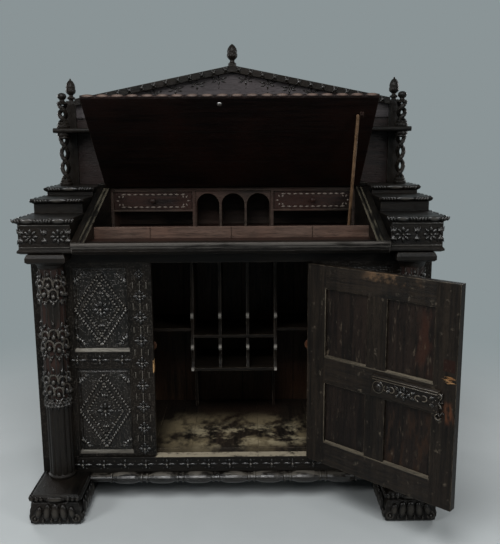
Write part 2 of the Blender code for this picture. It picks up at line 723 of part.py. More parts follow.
def lid():
    pts = [(GAP, 0.0), (LID_L - 0.006, 0.0), (LID_L - 0.001, 0.004), (LID_L, LID_T / 2),
           (LID_L - 0.001, LID_T - 0.004), (LID_L - 0.006, LID_T - HALF), (GAP, LID_T - HALF)]
    rings = []
    for x in (-LID_X, LID_X):
        rings.append([tuple(on_lid(x, s, n)) for s, n in pts])
    board = loft(rings)
    x0 = STAY_X + STAY_R + 2 * GAP
    rings = []
    for x in (x0, x0 + 0.012):
        ring = []
        tip = STAY_DROP + 0.006
        for s, n in ((-0.012, -0.004), (0.012, -0.004), (0.010, tip), (-0.010, tip)):
            ring.append(tuple(on_lid(x, STAY_S + s, LID_T + n)))
        rings.append(ring)
    return weld(board, loft(rings))


lid_turn = about(lid_axis, "X", -LID_TURN)
finish("lid", lid(), "oak_board", lid_axis, lid_turn)

# stay: a stick hung from the lid whose foot stands on the bed of the well
stay_pivot = lid_turn @ on_lid(STAY_X, STAY_S, LID_T + STAY_DROP)
direction = Vector((0.03, math.sin(STAY_LEAN), -math.cos(STAY_LEAN))).normalized()
tip = 0.5 * STAY_R * math.sqrt(1 - direction.z ** 2)
reach = (stay_pivot.z - BED_Z - STAY_SEAT - tip) / -direction.z


def stay():
    side = direction.cross(Vector((1, 0, 0))).normalized()
    over = side.cross(direction).normalized()
    rings = []
    for d, r in ((-0.004, 0.55), (-0.0025, 0.85), (0.0, 1.0), (reach - 0.010, 1.0), (reach - 0.004, 0.85),
                 (reach, 0.5)):
        ring = []
        for i in range(10):
            a = 2 * math.pi * i / 10
            p = stay_pivot + direction * d + (side * math.cos(a) + over * math.sin(a)) * STAY_R * r
            ring.append(tuple(p))
        rings.append(ring)
    return loft(rings)


finish("lid_stay", stay(), "oak_pale", stay_pivot)

# door, made shut and turned about its pins at the right of the opening
door_axis = Vector((OPEN_X, FRAME_Y - 0.0005, SILL_Z))
door_turn = about(door_axis, "Z", DOOR_OPEN)
DX0 = -OPEN_X + RUN
DX1 = OPEN_X - RUN
DZ0 = SILL_Z + SEAT
DZ1 = HEAD_Z - RUN
DY0 = FRAME_Y
DY1 = FRAME_Y + DOOR_T
HOLES = []
for low, high in ((DZ0 + DOOR_LOW, DOOR_MID[0]), (DOOR_MID[1], DZ1 - DOOR_TOP)):
    HOLES.append((DX0 + DOOR_STILE, -MUNTIN / 2, low, high))
    HOLES.append((MUNTIN / 2, DX1 - DOOR_STILE, low, high))


def door_panel(x0, x1, z0, z1):
    edge = 0.014
    y0 = DY0 + 0.006
    levels = ((GAP, DY1 - 0.008), (GAP, y0 + 0.002), (edge, y0 + 0.001), (edge + 0.004, y0 - 0.003))
    rings = []
    for grow, y in levels:
        rings.append([(x0 + grow, y, z0 + grow), (x1 - grow, y, z0 + grow), (x1 - grow, y, z1 - grow),
                      (x0 + grow, y, z1 - grow)])
    return loft(rings)


frame = cut(box(DX0, DX1, DY0, DY1, DZ0, DZ1, 0),
            *[box(a, b, DY0 - 0.01, DY1 + 0.01, c, d, 0) for a, b, c, d in HOLES])
finish("door_frame", frame, "oak_inside", door_axis, door_turn)
for hole, name in zip(HOLES, ("lower_latch", "lower_hinge", "upper_latch", "upper_hinge")):
    finish("door_panel_" + name, door_panel(*hole), "oak_inside", door_axis, door_turn)

# carved bar on the inner face, over the latch half of the middle rail, with a turned boss at its end


def lock_bar():
    z0 = DOOR_MID[0] + 0.004
    z1 = DOOR_MID[1] - 0.016
    y = DY1 + GAP
    x1 = 0.012
    x0 = DX0 + 0.05
    rings = []
    for grow, d in ((0.0, 0.0), (0.0, 0.005), (0.004, 0.009)):
        rings.append([(x0 + grow, y + d, z0 + grow), (x1 - grow, y + d, z0 + grow),
                      (x1 - grow, y + d, z1 - grow), (x0 + grow, y + d, z1 - grow)])
    bar = loft(rings)
    z = (z0 + z1) / 2
    rings = []
    for r, d in ((0.020, 0.004), (0.020, 0.011), (0.016, 0.014), (0.011, 0.014), (0.009, 0.018),
                 (0.004, 0.020)):
        ring = []
        for i in range(14):
            a = 2 * math.pi * i / 14
            ring.append((x1 - 0.030 + r * math.cos(a), y + d, z + r * math.sin(a)))
        rings.append(ring)
    return weld(bar, loft(rings))


finish("door_lock_bar", lock_bar(), "oak_inside", door_axis, door_turn)

# common frame: origin under the middle of the whole at rest, each moving piece's origin on its joint
low = [1e9, 1e9, 1e9]
high = [-1e9, -1e9, -1e9]
for obj in PIECES:
    for vert in obj.data.vertices:
        for axis in range(3):
            low[axis] = min(low[axis], vert.co[axis])
            high[axis] = max(high[axis], vert.co[axis])
shift = Vector((-(low[0] + high[0]) / 2, -(low[1] + high[1]) / 2, -low[2]))
print("shift", [round(v, 6) for v in shift], "size", [round(b - a, 4) for a, b in zip(low, high)])
for obj in PIECES:
    pivot = Vector(obj["pivot"])
    moving = pivot.length > 0
    base = pivot if moving else Vector((0, 0, 0))
    obj.data.transform(Matrix.Translation(-base if moving else shift))
    obj.location = base + shift if moving else base
    del obj["pivot"]
print("door axis", [round(v, 6) for v in door_axis + shift])
print("lid axis", [round(v, 6) for v in lid_axis + shift])
print("stay pivot", [round(v, 6) for v in stay_pivot + shift], "direction", [round(v, 6) for v in direction])
print("stay reach", round(reach, 6))
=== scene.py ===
import math
import bpy
from mathutils import Matrix, Vector


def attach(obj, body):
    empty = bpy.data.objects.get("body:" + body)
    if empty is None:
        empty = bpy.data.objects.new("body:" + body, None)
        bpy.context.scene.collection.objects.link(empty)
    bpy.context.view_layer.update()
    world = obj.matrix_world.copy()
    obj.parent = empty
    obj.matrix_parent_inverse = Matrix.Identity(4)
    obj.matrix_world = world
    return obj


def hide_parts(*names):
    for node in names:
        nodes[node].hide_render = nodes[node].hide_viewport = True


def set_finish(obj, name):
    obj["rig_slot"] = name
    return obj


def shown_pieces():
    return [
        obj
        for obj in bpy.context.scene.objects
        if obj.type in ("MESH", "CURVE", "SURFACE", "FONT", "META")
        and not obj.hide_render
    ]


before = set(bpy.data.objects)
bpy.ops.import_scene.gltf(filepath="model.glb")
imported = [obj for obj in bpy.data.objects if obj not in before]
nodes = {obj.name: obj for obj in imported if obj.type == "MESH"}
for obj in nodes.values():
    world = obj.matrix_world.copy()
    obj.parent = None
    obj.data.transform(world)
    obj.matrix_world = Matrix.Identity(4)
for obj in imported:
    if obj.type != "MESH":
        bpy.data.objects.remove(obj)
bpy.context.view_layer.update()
print("frame loaded,", len(nodes), "nodes")

# planes and turns shared with the solids, metres
xAxis, zAxis = Vector((1, 0, 0)), Vector((0, 0, 1))
doorAxis = Vector((0.283023, -0.072318, 0.167))
doorOpen = math.radians(137)
doorTurn = Matrix.Translation(doorAxis) @ Matrix.Rotation(doorOpen, 4, "Z") @ Matrix.Translation(-doorAxis)
lidAxis = Vector((0, 0.284182, 1.142))
lidSlope = math.radians(40.5)  # rise of the propped lid above level
sides = (("left", -1), ("right", 1))
halfTurn, quarterTurn = math.pi, math.pi / 2


# one socket of a node tree, with maths written on it
class Wire:
    def __init__(self, tree, socket=None):
        self.tree = tree
        self.socket = socket

    def node(self, kind, settings, sockets, out=0):
        made = self.tree.nodes.new(kind)
        for key, value in settings.items():
            setattr(made, key, value)
        for key, value in sockets.items():
            if isinstance(value, Wire):
                self.tree.links.new(value.socket, made.inputs[key])
            else:
                made.inputs[key].default_value = value
        return Wire(self.tree, made.outputs[out])

    def maths(self, kind, a, b):
        return self.node("ShaderNodeMath", {"operation": kind}, {0: a, 1: b})

    def __add__(self, other):
        return self.maths("ADD", self, other)

    def __radd__(self, other):
        return self.maths("ADD", other, self)

    def __sub__(self, other):
        return self.maths("SUBTRACT", self, other)

    def __rsub__(self, other):
        return self.maths("SUBTRACT", other, self)

    def __mul__(self, other):
        return self.maths("MULTIPLY", self, other)

    def __rmul__(self, other):
        return self.maths("MULTIPLY", other, self)

    def __truediv__(self, other):
        return self.maths("DIVIDE", self, other)

    def __rtruediv__(self, other):
        return self.maths("DIVIDE", other, self)

    def __abs__(self):
        return self.maths("ABSOLUTE", self, 0.0)


def rgba(tint):
    return tint if isinstance(tint, Wire) else (*tint, 1)


def dimmed(tint, share):
    return tuple(share * v for v in tint)


def mixed(w, share, a, b):
    return w.node("ShaderNodeMix", {"data_type": "RGBA"}, {0: share, 6: rgba(a), 7: rgba(b)}, 2)


def stretched(w, place, scale, size, detail=5.0, rough=0.6):
    spot = w.node("ShaderNodeMapping", {}, {"Vector": place, "Scale": scale})
    return w.node("ShaderNodeTexNoise", {}, {"Vector": spot, "Scale": size, "Detail": detail, "Roughness": rough})


def eased(w, value, low, high):
    return w.node("ShaderNodeMapRange", {"interpolation_type": "SMOOTHSTEP"},
                  {"Value": value, "From Min": low, "From Max": high, "To Min": 0.0, "To Max": 1.0})


def inBox(w, axes, box):
    # soft-edged share of a box, which gives low, high and blur for each axis that counts
    share = 1.0
    for axis, low, high, blur in box:
        rise = eased(w, axes[axis], low - blur, low + blur)
        fall = eased(w, axes[axis], high - blur, high + blur)
        share = rise * (1 - fall) * share
    return share


def bareMaterial(name):
    mat = bpy.data.materials.new(name)
    mat.use_nodes = True
    mat.node_tree.nodes.clear()
    return mat, Wire(mat.node_tree)


def surface(mat, shader):
    end = mat.node_tree.nodes.new("ShaderNodeOutputMaterial")
    mat.node_tree.links.new(shader.socket, end.inputs["Surface"])
    return mat


even = (1, 1, 1)
grainScale = {"x": (1.0, 17.0, 17.0), "y": (17.0, 1.0, 17.0), "z": (17.0, 17.0, 1.0)}
oakNoise = {"wander": (3.1, 2.0), "run": (7.0,), "pores": (46.0, 2.0, 0.5), "broad": (2.1, 3.0), "rub": (38.0, 4.0)}


def oakGrain(w, place, axes, look):
    # long streaks and short pores; rails between stiles run the other way
    along, across = grainScale[look["grain"]], grainScale["x"]
    run = stretched(w, place, along, *oakNoise["run"])
    pores = stretched(w, place, along, *oakNoise["pores"])
    if "cross" in look:
        share = 0.0
        for box in look["cross"]:
            share = inBox(w, axes, box) + share
        run = run * (1 - share) + stretched(w, place, across, *oakNoise["run"]) * share
        pores = pores * (1 - share) + stretched(w, place, across, *oakNoise["pores"]) * share
    return run, pores


def oak(name, look):
    # open-pored oak under wax: streaks, pores, worn edges, marks; on carving, painted highlights on the tops and
    # painted shade near the ground
    mat, w = bareMaterial(name)
    place = w.node("ShaderNodeTexCoord", {}, {}, "Object")
    if "turn" in look:
        spot, turn = look["turn"]
        place = w.node("ShaderNodeMapping", {"vector_type": "TEXTURE"},
                       {"Vector": place, "Location": spot, "Rotation": turn})
    axes = {}
    for axis in "XYZ":
        axes[axis.lower()] = w.node("ShaderNodeSeparateXYZ", {}, {"Vector": place}, axis)
    wander = stretched(w, place, even, *oakNoise["wander"])
    run, pores = oakGrain(w, place, axes, look)
    broad = stretched(w, place, grainScale[look["grain"]], *oakNoise["broad"])
    streak = eased(w, 0.55 * run + 0.45 * broad + 0.30 * (wander - 0.5), 0.34, 0.66)
    pit = 1 - eased(w, pores, 0.30, 0.47)
    tint = mixed(w, streak, look["dark"], look["mid"])
    if "outer" in look:  # a door is darker on the outside
        axis, at, deep, light = look["outer"]
        share = 1 - eased(w, axes[axis], at - 0.002, at + 0.002)
        tint = mixed(w, share, tint, mixed(w, streak, deep, light))
    else:
        tint = mixed(w, 0.7 * eased(w, wander, 0.45, 0.68), tint, look["warm"])
    tint = mixed(w, 0.7 * pit, tint, dimmed(look["dark"], 0.35))

    # wear along the edges
    normal = w.node("ShaderNodeNewGeometry", {}, {}, "Normal")
    soft = w.node("ShaderNodeBevel", {"samples": 6}, {"Radius": look.get("round", 0.003)})
    bend = w.node("ShaderNodeVectorMath", {"operation": "DOT_PRODUCT"}, {0: normal, 1: soft}, "Value")
    rub = stretched(w, place, even, *oakNoise["rub"])
    edge = eased(w, 1 - bend, 0.03, 0.22) * eased(w, rub, 0.36, 0.62)
    if "rise" in look:  # carved pieces carry how far they stand proud
        proud = w.node("ShaderNodeAttribute", {"attribute_name": "rise"}, {}, "Fac")
        # tops of the lobes turn pale: partly rubbed wear, partly a painted highlight
        edge = eased(w, proud + 0.30 * (rub - 0.5), *look["rise"]) + 0.4 * edge
        # painted shade: darker close to the ground, in the hollows between the lobes
        tint = mixed(w, 1 - eased(w, proud, 0.0, 0.35), tint, dimmed(look["dark"], 0.4))
    tint = mixed(w, look["wearAndHighlight"] * edge, tint, look["pale"])
    rough = look["rough"] + 0.16 * (rub - 0.5) + 0.22 * pit - 0.06 * edge
    lift = 0.7 * run + 0.3 * broad - 0.6 * pit

    if "punch" in look:  # ground struck with a small punch
        spot = w.node("ShaderNodeMapping", {}, {"Vector": place, "Scale": (1, 0.2, 1)})
        cell = w.node("ShaderNodeTexVoronoi", {},
                      {"Vector": spot, "Scale": look["punch"], "Randomness": 0.7}, "Distance")
        knob = 1 - eased(w, cell, 0.10, 0.55)
        lift = lift + 1.1 * knob
        tint = mixed(w, 0.35 * knob, tint, look["pale"])
    for axis, at, width in look.get("joints", ()):  # open joints between boards, dark and sunk
        gap = 1 - eased(w, abs(axes[axis] - at + 0.0006 * (wander - 0.5)), 0.4 * width, width)
        tint = mixed(w, gap, tint, (0.002, 0.0015, 0.001))
        lift = lift - 2.5 * gap
    # the marks below are dust, raw or rubbed wood, and painted highlights (rack cusps, bobbin tops)
    for mark in look.get("marks", ()):  # dust, raw or rubbed wood inside a box
        patch = stretched(w, place, mark.get("scale", even), mark["size"], 6.0, 0.65)
        share = inBox(w, axes, mark["box"]) * eased(w, patch, mark["cut"] - 0.07, mark["cut"] + 0.09)
        if mark.get("up"):
            level = w.node("ShaderNodeSeparateXYZ", {}, {"Vector": normal}, "Z")
            share = share * eased(w, level, 0.55, 0.75)
        tint = mixed(w, share * mark.get("share", 1.0), tint, mark["tint"])
        rough = rough + 0.30 * share
    bump = w.node("ShaderNodeBump", {}, {"Strength": look.get("bump", 0.55), "Distance": 0.0014, "Height": lift,
                                         "Normal": soft})
    shader = w.node("ShaderNodeBsdfPrincipled", {}, {
        "Base Color": tint, "Roughness": rough, "Normal": bump, "Coat Weight": look.get("coat", 0.0),
        "Coat Roughness": 0.30, "Specular IOR Level": look["gloss"]})
    return surface(mat, shader)


def metal(name, tint, rough):
    mat, w = bareMaterial(name)
    place = w.node("ShaderNodeTexCoord", {}, {}, "Object")
    rub = stretched(w, place, even, 160.0, 4.0)
    cloud = stretched(w, place, even, 55.0, 3.0)
    colour = mixed(w, eased(w, cloud, 0.40, 0.66), tint, dimmed(tint, 0.45))
    shader = w.node("ShaderNodeBsdfPrincipled", {}, {"Base Color": colour, "Metallic": 1.0,
                                                     "Roughness": rough + 0.25 * (rub - 0.4)})
    return surface(mat, shader)


# three woods, linear colours
black = {"dark": (0.0014, 0.0012, 0.0010), "mid": (0.0075, 0.0060, 0.0045), "pale": (0.085, 0.074, 0.060),
         "warm": (0.0080, 0.0054, 0.0037), "wearAndHighlight": 0.60, "rough": 0.38, "gloss": 0.13}
inner = {"dark": (0.0030, 0.0021, 0.0014), "mid": (0.0150, 0.0105, 0.0070), "pale": (0.150, 0.122, 0.085),
         "warm": (0.0145, 0.0078, 0.0046), "wearAndHighlight": 0.70, "rough": 0.50, "gloss": 0.15}
redBrown = {"dark": (0.0045, 0.0023, 0.0018), "mid": (0.0230, 0.0115, 0.0085), "pale": (0.120, 0.085, 0.063),
            "warm": (0.0210, 0.0080, 0.0052), "wearAndHighlight": 0.55, "rough": 0.44, "gloss": 0.16}
# carving: pale lobe tops are part wear and part painted highlight, with painted shade near the ground; the same in
# every finish that has rise
carved = {**black, "grain": "z", "rise": (0.50, 1.20), "wearAndHighlight": 0.70, "rough": 0.22, "pale": (0.135, 0.120, 0.098),
          "coat": 0.3, "gloss": 0.40}
lobePale = (0.110, 0.098, 0.082)

# black oak of the case
oakBlackX = oak("waxedOakAcross", {**black, "grain": "x"})
oakBlackZ = oak("waxedOakUpright", {**black, "grain": "z"})
oakCarved = oak("waxedOakCarved", carved)
oakNulled = oak("waxedOakNulled", {
    **black, "grain": "z", "rise": (0.55, 1.40), "wearAndHighlight": 0.40, "rough": 0.20, "pale": lobePale, "coat": 0.3,
    "gloss": 0.32})
oakFruit = oak("waxedOakFruit", {
    **black, "grain": "z", "rise": (0.50, 1.30), "wearAndHighlight": 0.50, "rough": 0.22, "pale": (0.115, 0.100, 0.080),
    "coat": 0.2, "gloss": 0.30})
oakFootCarved = oak("waxedOakFootCarved", {
    **black, "grain": "z", "rise": (0.60, 1.30), "wearAndHighlight": 0.45, "rough": 0.24, "pale": lobePale, "gloss": 0.18})
oakFoot = oak("waxedOakFoot", {**black, "grain": "y", "gloss": 0.18, "rough": 0.3})
oakColumn = oak("waxedOakColumn", {**black, "grain": "z", "gloss": 0.2, "marks": [
    {"box": [("z", 0.40, 0.875, 0.01)], "cut": 0.44, "size": 9.0, "scale": (3, 3, 0.6),
     "tint": (0.0230, 0.0098, 0.0070), "share": 0.75}]})
oakFillet = oak("waxedOakFillet", {**black, "grain": "z", "rough": 0.26, "gloss": 0.4})
# the pale mark on the upward faces is a painted highlight on the bobbin tops
oakBobbin = oak("waxedOakBobbin", {**black, "grain": "x", "rough": 0.20, "gloss": 0.32, "coat": 0.25, "marks": [
    {"box": [("z", 0.06, 0.12, 0.01)], "cut": 0.50, "size": 26.0, "scale": (0.4, 1, 1),
     "tint": (0.085, 0.076, 0.062), "share": 0.7, "up": True}]})
oakWornSill = oak("waxedOakWornSill", {
    **black, "grain": "x", "dark": (0.040, 0.036, 0.030), "mid": (0.150, 0.140, 0.120),
    "warm": (0.085, 0.070, 0.052), "rough": 0.32})
oakSide = oak("waxedOakSide", {
    **black, "grain": "z", "joints": [("y", 0.075, 0.0022), ("y", 0.215, 0.0018), ("y", 0.345, 0.0022)]})
oakPunched = oak("waxedOakPunched", {
    **black, "grain": "z", "punch": 150.0, "bump": 0.9, "rough": 0.30, "gloss": 0.30})
oakSill = oak("waxedOakSill", {**black, "grain": "x", "marks": [
    {"box": [("x", -0.285, 0.285, 0.004), ("z", 0.160, 0.172, 0.002)], "cut": 0.40, "size": 30.0,
     "tint": (0.235, 0.205, 0.150), "up": True}]})
railBoxes = []
for word, s in sides:
    railBoxes.append([("z", 0.506, 0.566, 0.0005), ("x", s * 0.464 - 0.098, s * 0.464 + 0.098, 0.0005)])
oakFrame = oak("waxedOakFrame", {**black, "grain": "z", "cross": railBoxes, "punch": 150.0, "marks": [
    {"box": [("x", -0.2855, -0.270, 0.0015), ("z", 0.487, 0.532, 0.003)], "cut": 0.40, "size": 22.0,
     "tint": (0.42, 0.25, 0.11)}]})
oakLedge = oak("waxedOakLedge", {
    **black, "grain": "x", "round": 0.005, "wearAndHighlight": 1.0, "pale": (0.190, 0.172, 0.155), "marks": [
        {"box": [("y", -0.180, -0.1700, 0.0015)], "cut": 0.42, "size": 9.0, "scale": (0.5, 1, 6),
         "tint": (0.085, 0.078, 0.070), "share": 0.55}]})
cheekMarks, cheekJoints = [], []
for word, s in sides:
    for at, wide, cut in ((0.4885, 0.0030, 0.40), (0.5045, 0.0034, 0.46), (0.4960, 0.0070, 0.58)):
        cheekMarks.append({"box": [("x", s * at - wide, s * at + wide, 0.0014)], "cut": cut, "size": 30.0,
                           "scale": (1, 0.25, 0.25), "tint": (0.060, 0.053, 0.037), "share": 0.75, "up": True})
    cheekJoints += [("x", s * 0.4985, 0.0020), ("x", s * 0.5100, 0.0016)]
oakCheek = oak("cheekOak", {**black, "grain": "y", "marks": cheekMarks, "joints": cheekJoints})
# painted reflection: the panel's flat ground is made purple-grey, as a sheen of light on it
oakPedimentPaintedSheen = oak("pedimentOakPaintedSheen", {
    **black, "grain": "x", "dark": (0.018, 0.0160, 0.0165), "mid": (0.052, 0.046, 0.048),
    "warm": (0.040, 0.034, 0.035)})

# drier oak inside the cupboard and the desk
oakBackBoards = oak("backBoards", {
    **inner, "grain": "z", "mid": (0.0300, 0.0175, 0.0095), "warm": (0.0360, 0.0150, 0.0070), "joints": [
        ("x", -0.452, 0.0024), ("x", -0.218, 0.0020), ("x", 0.031, 0.0024), ("x", 0.254, 0.0020),
        ("x", 0.470, 0.0024)]})
# painted highlights at the cusps of the rack uprights; the rack's pale edges are wear and painted highlight both
rackPaintedGlints = []
for at in (0.404, 0.498, 0.628):
    rackPaintedGlints.append({"box": [("z", at - 0.010, at + 0.010, 0.005), ("y", 0.0, 0.200, 0.004)], "cut": 0.34,
                      "size": 20.0, "tint": (0.30, 0.28, 0.25), "share": 0.8})
oakRack = oak("dryOakRack", {
    **inner, "grain": "z", "round": 0.005, "wearAndHighlight": 0.8, "pale": (0.150, 0.132, 0.108), "marks": rackPaintedGlints})
oakInnerX = oak("dryOakShelf", {**inner, "grain": "x"})
oakFloor = oak("dustyOakFloor", {**inner, "grain": "y", "rough": 0.62, "marks": [
    {"box": [("z", 0.10, 0.30, 0.01), ("y", -0.03, 0.26, 0.07), ("x", -0.27, 0.30, 0.06)], "cut": 0.50,
     "size": 7.0, "scale": (1.0, 0.7, 1.0), "tint": (0.135, 0.108, 0.062), "share": 0.85},
    {"box": [("z", 0.10, 0.30, 0.01), ("y", -0.02, 0.17, 0.05), ("x", -0.18, 0.28, 0.05)], "cut": 0.55,
     "size": 15.0, "tint": (0.23, 0.195, 0.125), "share": 0.8}]})
oakPigeon = oak("pigeonholeOak", {
    **inner, "grain": "x", "dark": (0.010, 0.0068, 0.0054), "mid": (0.043, 0.030, 0.0235),
    "warm": (0.038, 0.019, 0.014)})
oakStick = oak("paleStick", {
    **inner, "grain": "z", "dark": (0.090, 0.052, 0.028), "mid": (0.200, 0.122, 0.070), "pale": (0.33, 0.23, 0.14)})
rawWood = oak("rawWood", {
    **inner, "grain": "z", "dark": (0.20, 0.085, 0.030), "mid": (0.36, 0.17, 0.065), "pale": (0.5, 0.33, 0.16),
    "rough": 0.6})
oakPeg = oak("pegWood", {
    **inner, "grain": "z", "dark": (0.020, 0.0080, 0.0040), "mid": (0.075, 0.030, 0.0140),
    "pale": (0.16, 0.085, 0.045), "rough": 0.4})

# door: measured on the shut door from its hinge, marks on its inner face only
doorSpot = {"turn": (tuple(doorAxis), (0, 0, doorOpen)),
            "outer": ("y", 0.008, (0.0016, 0.0013, 0.0011), (0.0095, 0.0070, 0.0050))}
inside = ("y", 0.018, 0.060, 0.002)
doorRails = []
for low, high in ((0.0, 0.085), (0.303, 0.399), (0.639, 0.72)):
    doorRails.append([("z", low, high, 0.0005), ("x", -0.4865, -0.0795, 0.0005)])
oakDoor = oak("dryOakDoor", {
    **inner, **doorSpot, "grain": "z", "cross": doorRails, "rough": 0.44, "round": 0.004, "marks": [
        {"box": [inside, ("x", -0.558, -0.520, 0.003), ("z", 0.446, 0.484, 0.003)], "cut": 0.20, "size": 30.0,
         "tint": (0.012, 0.0040, 0.0020)},
        {"box": [inside, ("x", -0.558, -0.528, 0.010), ("z", 0.284, 0.346, 0.014)], "cut": 0.47, "size": 34.0,
         "scale": (2.4, 2.4, 0.5), "tint": (0.060, 0.0225, 0.0100)},
        {"box": [inside, ("x", -0.420, -0.240, 0.03), ("z", 0.690, 0.724, 0.006)], "cut": 0.54, "size": 26.0,
         "tint": (0.10, 0.060, 0.032), "share": 0.8},
        {"box": [inside, ("x", -0.570, 0.01, 0.01), ("z", -0.01, 0.73, 0.01)], "cut": 0.66, "size": 44.0,
         "tint": (0.13, 0.108, 0.078), "share": 0.55}]})
oakDoorPanel = oak("dryOakDoorPanel", {
    **inner, **doorSpot, "grain": "z", "dark": (0.0026, 0.0016, 0.0011), "mid": (0.0130, 0.0080, 0.0056),
    "rough": 0.46, "marks": [
        {"box": [inside, ("x", -0.500, -0.320, 0.03), ("z", 0.08, 0.30, 0.04)], "cut": 0.57, "size": 16.0,
         "scale": (2.0, 2.0, 0.5), "tint": (0.026, 0.0130, 0.0070), "share": 0.7},
        {"box": [inside, ("x", -0.490, -0.420, 0.03), ("z", 0.42, 0.62, 0.04)], "cut": 0.50, "size": 14.0,
         "scale": (2.0, 2.0, 0.4), "tint": (0.027, 0.0095, 0.0052), "share": 0.7},
        {"box": [inside, ("x", -0.30, -0.23, 0.02), ("z", 0.085, 0.13, 0.02)], "cut": 0.52, "size": 20.0,
         "tint": (0.12, 0.110, 0.088), "share": 0.6},
        {"box": [inside, ("x", -0.500, -0.06, 0.01), ("z", 0.06, 0.66, 0.01)], "cut": 0.65, "size": 46.0,
         "scale": (1.8, 1.8, 0.5), "tint": (0.090, 0.070, 0.048), "share": 0.5}]})
oakDoorBar = oak("dryOakBar", {**inner, **doorSpot, "grain": "x"})
oakDoorSill = oak("dryOakSill", {
    **inner, **doorSpot, "grain": "x", "dark": (0.030, 0.025, 0.018), "mid": (0.110, 0.094, 0.068)})
oakDoorCarved = oak("dryOakBarCarved", {
    **inner, **doorSpot, "grain": "x", "rise": (0.55, 1.3), "wearAndHighlight": 0.65, "rough": 0.24, "gloss": 0.5})
oakDoorFront = oak("waxedOakDoorCarved", {**carved, **doorSpot})

# red-brown oak of the desk; the lid is measured flat from its hinge
lidSpot = {"turn": (tuple(lidAxis), (-lidSlope, 0, 0))}
oakLid = oak("lidBoards", {
    **redBrown, **lidSpot, "grain": "x", "dark": (0.0022, 0.0011, 0.0009), "mid": (0.0085, 0.0038, 0.0028),
    "warm": (0.0105, 0.0038, 0.0025), "rough": 0.42, "gloss": 0.10,
    "joints": [("y", -0.155, 0.0016), ("y", -0.318, 0.0014)]})
oakLidEdge = oak("lidEdge", {
    **redBrown, **lidSpot, "grain": "x", "rise": (0.4, 1.2), "wearAndHighlight": 0.8, "pale": (0.130, 0.092, 0.074)})
oakRed = oak("redBrownOak", {**redBrown, "grain": "x"})
oakBack = oak("backPanelOak", {
    **redBrown, "grain": "x", "dark": (0.0030, 0.0017, 0.0015), "mid": (0.0090, 0.0046, 0.0037),
    "warm": (0.0110, 0.0044, 0.0031)})
oakDivider = oak("dividerOak", {
    **redBrown, "grain": "x", "dark": (0.024, 0.0140, 0.0100), "mid": (0.078, 0.050, 0.038),
    "warm": (0.068, 0.036, 0.025), "rough": 0.52})
oakGouged = oak("gougedOak", {
    **redBrown, "grain": "x", "rise": (0.10, 0.55), "pale": (0.15, 0.125, 0.105), "wearAndHighlight": 0.9, "rough": 0.36})
silver = metal("wornSilver", (0.62, 0.61, 0.58), 0.28)
print("finishes made")

# the longest start of a node's name decides
nodeFinish = {
    "foot": oakFoot, "column": oakColumn, "step": oakBlackX, "plinth": oakSill, "plinth_bobbin": oakBobbin,
    "front_frame": oakFrame, "front_panel": oakPunched, "front_frieze": oakBlackX, "case_side": oakSide,
    "case_back": oakBackBoards, "cupboard_floor": oakFloor, "rack_upright": oakRack, "rack_low": oakInnerX,
    "rack_middle": oakInnerX, "side_shelf": oakInnerX, "desk_front": oakBlackX, "desk_bed": oakRed,
    "cheek": oakCheek, "desk_front_ledge": oakLedge, "well_divider": oakDivider, "pigeonhole": oakPigeon,
    "drawer": oakRed, "top_board": oakBlackX, "lid": oakLid, "lid_stay": oakStick, "gallery_shelf": oakBlackX,
    "gallery_back": oakBack, "post": oakBlackZ, "twist": oakBlackZ, "pediment_panel": oakPedimentPaintedSheen,
    "pediment_moulding": oakBlackX, "finial": oakBlackZ, "door_frame": oakDoor, "door_panel": oakDoorPanel,
    "door_lock": oakDoorBar,
}
for name, node in nodes.items():
    fits = [key for key in nodeFinish if name.startswith(key)]
    node.data.materials.clear()
    node.data.materials.append(nodeFinish[max(fits, key=len)])
print("solids dressed")


def only(*objs):
    # select these, the first one active
    bpy.ops.object.select_all(action="DESELECT")
    for obj in objs:
        obj.select_set(True)
    bpy.context.view_layer.objects.active = objs[0]


def joined(parts):
    only(*parts)
    if len(parts) > 1:
        bpy.ops.object.join()
    return bpy.context.object


def discard(*blanks):
    for blank in blanks:
        bpy.data.objects.remove(blank, do_unlink=True)


def clearPicks(obj):
    for group in (obj.data.vertices, obj.data.edges, obj.data.polygons):
        for item in group:
            item.select = False


def pickVerts(obj, test):
    # select points by place, then stay in edit mode
    only(obj)
    bpy.context.tool_settings.mesh_select_mode = (True, False, False)
    clearPicks(obj)
    for vert in obj.data.vertices:
        vert.select = test(vert.co)
    bpy.ops.object.mode_set(mode="EDIT")


def pickFaces(obj, test):
    # select faces by centre and normal, then stay in edit mode
    only(obj)
    bpy.context.tool_settings.mesh_select_mode = (False, False, True)
    clearPicks(obj)
    for face in obj.data.polygons:
        face.select = test(face.center, face.normal)
    bpy.ops.object.mode_set(mode="EDIT")


def leaveEdit():
    bpy.ops.object.mode_set(mode="OBJECT")


def settle(obj):
    only(obj)
    bpy.ops.object.transform_apply(location=True, rotation=True, scale=True)
    return obj


def markRise(obj):
    # how far each point stands above the ground, 0 to 1
    top = max(v.co.z for v in obj.data.vertices)
    rise = obj.data.attributes.new("rise", "FLOAT", "POINT")
    for v in obj.data.vertices:
        rise.data[v.index].value = max(0.0, v.co.z / top)
    return obj


def remark(obj):
    # one measure over a joined motif
    obj.data.attributes.remove(obj.data.attributes["rise"])
    return markRise(obj)


def cutGround(obj, depth):
    # take off what lies below a little under the ground
    only(obj)
    bpy.ops.object.mode_set(mode="EDIT")
    bpy.ops.mesh.select_all(action="SELECT")
    bpy.ops.mesh.bisect(plane_co=(0, 0, -depth), plane_no=(0, 0, 1), use_fill=True, clear_inner=True)
    leaveEdit()


